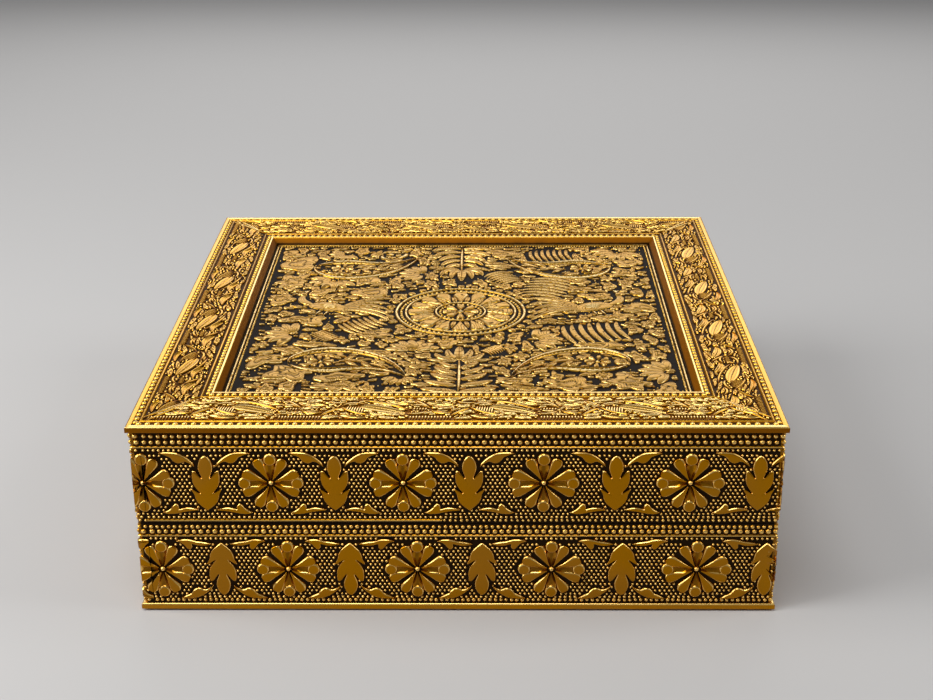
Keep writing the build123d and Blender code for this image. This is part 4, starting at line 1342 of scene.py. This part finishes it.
def ring_plate(radius_in, radius_out, top, sides=96):
    """A flat washer with rounded shoulders, as one closed loop carried round a circle."""
    middle, half = (radius_in + radius_out) / 2, (radius_out - radius_in) / 2
    angle = np.linspace(0, pi, 7)
    profile = np.column_stack([middle + half * np.cos(angle), top * np.sin(angle) ** 0.6])
    profile[[0, -1], 1] = -SINK
    turn = np.linspace(0, tau, sides + 1)
    rings = np.empty((1, sides + 1, len(profile), 3))
    rings[..., 0] = profile[:, 0] * np.cos(turn)[:, None]
    rings[..., 1] = profile[:, 0] * np.sin(turn)[:, None]
    rings[..., 2] = profile[:, 1]
    return rings, np.clip(profile[:, 1] / top, 0, 1)[None, None, :]


print("the relief on the panel is", round(CREST, 2), "mm high")

# %% Mangoes
mango_s = np.array([0.006, 0.025, 0.06, 0.11, 0.18, 0.27, 0.37, 0.47, 0.57, 0.67, 0.77, 0.87, 0.95])
mango_widths = np.array([0.2, 0.39, 0.6, 0.79, 0.94, 1.0, 0.93, 0.81, 0.66, 0.5, 0.34, 0.19, 0.08])
mango_across = np.array([1, 0.985, 0.96, 0.86, 0.83, 0.69, 0.67, 0.62, 0.3, 0,
                         -0.3, -0.62, -0.67, -0.69, -0.83, -0.86, -0.96, -0.985, -1])
mango_section = np.array([0, 0.8, 1, 1, 0.2, 0.2, 0.9, 0.12, 0.1, 0.1,
                          0.1, 0.12, 0.9, 0.2, 0.2, 1, 1, 0.8, 0])
MANGO = Die(mango_s, mango_widths, mango_across, np.ones((len(mango_s), 1)) * mango_section)
# On either side the groove lies between these two points across, the outer one first.
GROOVES = ((4, 5), (14, 13))
mango_spray = [((0.2, 6.0), (0.2, 11), (4.2, 16.0), 0.5), ((4.2, 16), (6.8, 19.6), (11.2, 22.2), 0.4),
               ((0.4, 8), (-1.2, 9.4), (-3.0, 12.6), 0.8), ((0.6, 8.6), (3.6, 9), (5.6, 12.2), 0.8),
               ((2.0, 12.4), (1.0, 14.6), (1.2, 18), 0.7), ((3.0, 13.6), (6.4, 14.2), (8.2, 17.2), 0.7),
               ((6.0, 18), (6.0, 20), (8.0, 22.6), 0.5)]


def mango(shells, field, mirror):
    """A mango shape: a bulb with a bent tail, beads in the groove round it, and inside it a
    flower and a spray."""
    move = np.array(mirror) * MANGO_REACH
    angle = radians(100)
    spine = placed([((0, -11), (-6, 18), (18, 27), 11.0)], angle, mirror, move)
    near, bend, far, half = (np.array([value]) for value in spine[0])
    rings, rub, start, end = MANGO.press(near, bend, far, half, CREST)
    shells.add(rings, rub, start, end)
    for border in (rings[:, :, :8], rings[:, :, 11:]):
        field.take(finer(finer(border[..., :2], 8, 2), 8, 1))
    for outer, inner in GROOVES:
        middle = (rings[0, :, outer, :2] + rings[0, :, inner, :2]) / 2
        run = np.concatenate([[0], np.cumsum(np.linalg.norm(np.diff(middle, axis=0), axis=1))])
        marks = np.arange(0.8, run[-1] - 3.0, 1.6)
        beads = np.stack([np.interp(marks, run, middle[:, axis]) for axis in (0, 1)], -1)
        shells.add(*domes(beads, 0.6, CREST * 0.85))
    flower = placed(ray_strokes(8, 1.2, 4.6, 0.95), angle, mirror, move)
    stamp(shells, field, PETAL, flower, CREST)
    shells.add(*domes([move], 0.9, CREST, 12, 3))
    stamp(shells, field, PLATE, placed(mango_spray, angle, mirror, move), CREST)


print("a mango has", len(mango_across), "points across")

# %% [markdown]
# ### Small figures
# Sprays, fans, curls and feathers are written for a size of one, and scattered in several sizes
# wherever they touch nothing. A drawn plan of them all would be a long table, and chance packs
# them as densely.

# %% Small figures
CURL = leaf_die(9, 0.45, np.array([0, 0.9, 1, 0.9, 0]), STROKE_ACROSS, 0.45)
spray = [(PLATE, (0, -0.95), (0.1, 0), (0, 1.0), 0.26), (PLATE, (0.08, -0.6), (0.62, -0.5), (0.8, 0.2), 0.2),
         (PLATE, (-0.08, -0.6), (-0.62, -0.5), (-0.8, 0.2), 0.2),
         (PLATE, (0.18, 0.0), (0.5, 0.25), (0.52, 0.8), 0.15),
         (PLATE, (-0.18, 0.0), (-0.5, 0.25), (-0.52, 0.8), 0.15)]
fan = [(PLAIN_PLATE, (0.16 * sin(a), 0.16 * cos(a)), (0.6 * sin(a), 0.6 * cos(a)), (sin(a), cos(a)), 0.17)
       for a in np.linspace(-1.35, 1.35, 7)]
curl = [(CURL, (-0.9, -0.5), (-0.1, -0.9), (0.5, -0.1), 0.17),
        (CURL, (0.62, 0.0), (0.7, 0.8), (-0.05, 0.72), 0.17),
        (CURL, (-0.2, 0.6), (-0.5, 0.1), (0.05, 0.12), 0.14),
        (PLATE, (-0.8, -0.2), (-0.9, 0.5), (-0.45, 0.95), 0.17)]
feather = [(PLAIN_PLATE, (x, -0.8 + 0.12 * abs(x)), (x + 0.28, 0), (x, 0.8 - 0.12 * abs(x)), 0.085)
           for x in np.linspace(-0.9, 0.7, 7)]
print("strokes in spray, fan, curl and feather:", len(spray), len(fan), len(curl), len(feather))


# %% Scattering
def scatter(shells, field, area, rng, motif, size, tries, rise, gap=0.16):
    """Tries one small figure at random places and turns, and keeps what touches nothing."""
    middle = rng.uniform(*area, (tries, 2))
    angle = rng.uniform(0, tau, tries)
    hand = rng.choice([-1.0, 1.0], tries)
    grow = size * rng.uniform(0.85, 1.15, tries)
    turn_x = np.stack([np.cos(angle), np.sin(angle)], -1) * (grow * hand)[:, None]
    turn_y = np.stack([-np.sin(angle), np.cos(angle)], -1) * grow[:, None]
    strokes = []
    for die, near, bend, far, half in motif:
        ends = [middle + turn_x * point[0] + turn_y * point[1] for point in (near, bend, far)]
        strokes.append((die, ends, half * grow))
    steps = max(1, round(size * 0.5))
    prints = []
    for die, ends, half in strokes:
        plan = die.press(*ends, half + gap, rise)[0][..., :2]
        prints.append(finer(finer(plan, steps, 2), steps, 1).reshape(tries, -1, 2))
    prints = np.concatenate(prints, axis=1)
    inside = ((prints > area[0]) & (prints < area[1])).all(axis=(1, 2))
    kept = [index for index in np.flatnonzero(inside) if field.claim(prints[index])]
    for die, ends, half in strokes:
        shells.add(*die.press(*(point[kept] for point in ends), half[kept], rise))


# %% [markdown]
# ### Birds and plants
# A bird has a crest, a bent neck, a folded wing and a long tail with eyes on it. A plant has a
# trunk, five pairs of boughs and a bloom. Each stroke is laid one by one, as a die cutter would,
# since no formula knows a bird.

# %% Birds
EYE_FROM_TIP = 3.4


def bird(shells, field, hand, move):
    """A peafowl seen from the side, its tail trailing behind and below it."""
    flip = (hand, 1)
    body = [((-6.5, -2.0), (0.5, 4.6), (7.4, 3.2), 4.3)]
    neck = [((5.4, 4.2), (12.4, 6.4), (10.0, 14.4), 1.7), ((9.6, 13.4), (10.6, 16.2), (12.8, 15.0), 1.35)]
    beak = [((12.2, 15.4), (13.6, 15.6), (14.9, 14.2), 0.4)]
    crest = [((9.9, 15.8), (9.0, 17.6), (8.4 + 1.5 * plume, 19.6 - 0.3 * plume), 0.36) for plume in range(3)]
    legs = [((-0.5, -2.4), (0.2, -4.2), (1.2, -7.4), 0.42), ((2.2, -1.6), (3.0, -3.6), (4.4, -6.8), 0.42),
            ((0.4, -7.6), (2.0, -8.0), (3.4, -7.4), 0.4), ((3.6, -7.0), (5.0, -7.4), (6.6, -6.8), 0.4)]
    tail = [((-5.0, -1.2 + 0.9 * plume), (-15.0, 0.5 + 2.6 * plume),
             (-22.0 - 0.8 * abs(plume - 2), -11.5 + 5.6 * plume), 1.25) for plume in range(5)]
    wing = [((-4.6, 0.6 - 0.9 * plume + 1.6), (0.4, 4.4 - 1.2 * plume),
             (5.0 - 0.8 * plume, 3.4 - 1.1 * plume), 0.62) for plume in range(4)]
    stamp(shells, field, PLAIN_PLATE, placed(body, 0, flip, move), CREST * 0.7, 0.9)
    stamp(shells, field, PLAIN_PLATE, placed(neck, 0, flip, move), CREST * 0.9)
    stamp(shells, field, CURL, placed(beak + crest + legs, 0, flip, move), CREST * 0.8)
    stamp(shells, field, PLATE, placed(tail, 0, flip, move), CREST)
    stamp(shells, field, SMOOTH_LEAF, placed(wing, 0, flip, move), CREST)
    eyes = turned([stroke[2] for stroke in tail], 0, flip, move) + (hand * EYE_FROM_TIP, 0)
    shells.add(*domes(eyes, 0.75, CREST))
    shells.add(*domes(turned([(11.2, 15.0)], 0, flip, move), 0.4, CREST))


# %% Plants
trunk = [((0, -2.5), (0.4, 10), (0, 26), 0.62)]
boughs = [((0.4, y), (x * 0.6, y - 0.6), (x, y + climb), half) for y, x, climb, half in (
    (-1.6, 12.4, 2.6, 1.7), (3.2, 11.4, 4.4, 1.6), (8.4, 9.4, 5.2, 1.5), (13.4, 8.4, 5.6, 1.35),
    (18.2, 6.8, 5.4, 1.2))]
bud = [((0, 24.6), (0, 30), (0, 36.5), 1.9)]
bloom = [((0.5, 24.8), (4.2, 26.4), (4.0, 34.0), 1.5), ((0.8, 24.4), (7.6, 24.6), (8.2, 30.6), 1.3),
         ((1.0, 23.8), (7.0, 21.8), (11.2, 25.6), 1.0)]


def both_hands(strokes):
    """The strokes and their mirror images."""
    return strokes + [(*((-x, y) for x, y in stroke[:3]), stroke[3]) for stroke in strokes]


def plant(shells, field, turn, reach):
    """A plant that grows from the panel's front or back edge towards the middle."""
    angle = turn * pi / 2
    foot = turned((0, 6.5 - reach), angle)
    stamp(shells, field, STROKE, placed(trunk, angle, move=foot), CREST)
    stamp(shells, field, PLATE, placed(both_hands(boughs), angle, move=foot), CREST)
    stamp(shells, field, PLATE, placed(both_hands(bloom) + bud, angle, move=foot), CREST)


print("strokes in a plant:", len(trunk) + 2 * len(boughs) + 2 * len(bloom) + len(bud))


# %% Border of the panel
BORDER_BAR, BORDER_BEADS = 0.9, 2.1


def border_bar(reach, wide, top, turn):
    """A half-round bar along one side of a square, cut to its diagonals."""
    angle = np.linspace(0, pi, 7)
    profile = np.column_stack([reach + wide / 2 * np.cos(angle), top * np.sin(angle)])
    profile = np.concatenate([profile, [(reach - wide / 2, -SINK), (reach + wide / 2, -SINK)]])
    rings = np.empty((1, 2, len(profile), 3))
    for end, hand in ((0, -1), (1, 1)):
        flat = turned(np.column_stack([hand * profile[:, 0], -profile[:, 0]]), turn * pi / 2)
        rings[0, end] = np.column_stack([flat, profile[:, 1]])
    return rings, np.clip(profile[:, 1] / top, 0, 1)[None, None, :]


def border(shells, reach):
    """A bar and a row of beads along each edge."""
    run = np.arange(2.3 - reach, reach - 2.2, 1.05)
    for turn in range(4):
        shells.add(*border_bar(reach - BORDER_BAR, 0.9, CREST * 0.7, turn))
        row = turned(np.stack([run, np.full(len(run), BORDER_BEADS - reach)], -1), turn * pi / 2)
        shells.add(*domes(row, 0.46, CREST * 0.7))


# %% [markdown]
# ### The whole panel
# The large figures come first and take their room. The small ones and the paving follow, from
# the largest size to the smallest, so that no gap is left that something smaller could fill.
# Dots go into the last of the ground.

# %% Lotus
def lotus(shells, field):
    """The round middle: petals in two tiers, rings and rows of beads."""
    for inner, outer, top in ((22.9, 24.0, 1.0), (19.6, 20.5, 0.9), (8.6, 9.4, 0.9)):
        shells.add(*ring_plate(inner, outer, CREST * top))
    for count, radius, size in ((72, 21.7, 0.72), (26, 7.5, 0.62)):
        angle = np.arange(count) * tau / count
        shells.add(*domes(np.stack([np.cos(angle), np.sin(angle)], -1) * radius, size, CREST * 0.9))
    stamp(shells, field, PETAL, ray_strokes(16, 9.8, 19.4, 3.0), CREST)
    stamp(shells, field, PLATE, ray_strokes(16, 9.8, 15.6, 0.9, 0.5), CREST * 0.8)
    stamp(shells, field, PETAL, ray_strokes(8, 1.5, 6.7, 1.6), CREST)
    stamp(shells, field, PLATE, ray_strokes(32, 24.5, 28.0, 1.3), CREST * 0.9, 0.95)
    shells.add(*domes([(0, 0)], 1.4, CREST, 16, 3))
    turn = np.arange(0, tau, 0.01)
    for radius in np.arange(0, 24.4, 0.15):
        field.take(np.stack([np.cos(turn), np.sin(turn)], -1) * radius)


# %% Make the panel
# The small figures are each a motif, its size and how often it is tried.
LARGER_FIGURES = ((feather, 12.5, 70), (fan, 11.5, 70), (spray, 13.0, 70), (feather, 9.5, 70))
SMALLER_FIGURES = ((spray, 9.0, 80), (feather, 7.0, 90), (fan, 7.0, 50), (curl, 7.0, 50), (feather, 4.5, 90))
LARGE_PLATES = dict(pitch=13.0, stretch=(1.5, 0.95), sway=9.0, rise=CREST * 0.85, gap=0.9, bevel=0.36,
                    points=45, share=0.6, lobed=0.19, lined=True, smooth=4)
SMALL_PLATES = (
    dict(pitch=7.5, stretch=(0.95, 1.4), sway=6.0, rise=CREST * 0.85, gap=0.7, bevel=0.34,
         points=30, share=0.8, lobed=0.19, lined=True, smooth=3),
    dict(pitch=4.2, stretch=(2.0, 0.8), sway=5.0, rise=CREST * 0.8, gap=0.6, bevel=0.3,
         points=18, share=0.8, lobed=0.16, smooth=2),
    dict(pitch=2.2, stretch=(2.2, 0.7), sway=3.0, rise=CREST * 0.75, gap=0.5, bevel=0.25,
         points=9, share=0.6),
)
PANEL_SEED = 83
BORDER_WIDTH = 3.4


def panel_piece():
    """The whole panel, its largest figures first."""
    rng = np.random.default_rng(PANEL_SEED)
    reach = panel_high[0]
    shells = Shells(on_panel)
    outer = np.array([(1, 1), (-1, 1), (-1, -1), (1, -1)]) * reach
    shells.add(np.stack([np.column_stack([outer, np.full(4, z)]) for z in (-PANEL_GAUGE, 0)])[None], 0.0)
    border(shells, reach)
    field = Field((-reach, -reach), (reach, reach))
    lotus(shells, field)
    for mirror in ((1, 1), (-1, 1), (-1, -1), (1, -1)):
        mango(shells, field, mirror)
    for turn in (0, 2):
        plant(shells, field, turn, reach)
    for hand in (-1, 1):
        bird(shells, field, hand, (hand * 49.0, 3.0))
    area = ((BORDER_WIDTH - reach,) * 2, (reach - BORDER_WIDTH,) * 2)
    for figure in LARGER_FIGURES:
        scatter(shells, field, area, rng, *figure, CREST * 0.9, 0.3)
    pave(shells, field, area, rng, **LARGE_PLATES)
    for figure in SMALLER_FIGURES:
        scatter(shells, field, area, rng, *figure, CREST * 0.85)
    for size in SMALL_PLATES:
        pave(shells, field, area, rng, **size)
    pack_dots(shells, field, area, 0.38, CREST * 0.5, 1200, rng, 0.3)
    shells.piece("lid_stamped_panel", panel_gold, "lid", "panel_gold_sheet", "lid_relief_panel")


panel_piece()

# %% [markdown]
# ## Wood, velvet, felt, brass and steel
# The boards' rims, the lining, the felt underneath, the foot strips, the hinges and the screws
# are solids of the frame and only want a finish. Cloth and board could have their weave and
# fibres modelled, but from a step away a faint cloudiness and a fine grain say the same.

# %% Other finishes
def plain(name, colour, roughness, metallic=0.0, grains_per_metre=900):
    """A plain finish, a quarter darker in its clouds, with a fine grain."""
    paint = Paint(name)
    dark = tuple(channel * 0.76 for channel in colour)
    return paint.finish(
        Base_Color=paint.blend(paint.noise(120, 3), dark, colour),
        Metallic=metallic,
        Roughness=roughness,
        Normal=paint.bump(paint.noise(grains_per_metre, 3, 0.6), 0.00005, 0.5),
    )


finishes = {
    "wood_board": plain("wood_board", (0.32, 0.19, 0.09), 0.6),
    "maroon_velvet": plain("maroon_velvet", (0.16, 0.012, 0.03), 0.85, grains_per_metre=3000),
    "black_felt": plain("black_felt", (0.02, 0.02, 0.022), 0.95, grains_per_metre=2500),
    "hinge_brass": plain("hinge_brass", (0.6, 0.42, 0.16), 0.35, 1.0),
    "screw_steel": plain("screw_steel", (0.5, 0.45, 0.35), 0.4, 1.0),
    "antique_gold_sheet": foot_gold,
}
for entry in frame["record"]["subparts"]:
    material = finishes.get(entry["material_slot"])
    node = frame["nodes"][entry["node"]]
    if material and node.type == "MESH":
        node.data.materials.clear()
        node.data.materials.append(material)
print("finishes:", *finishes)
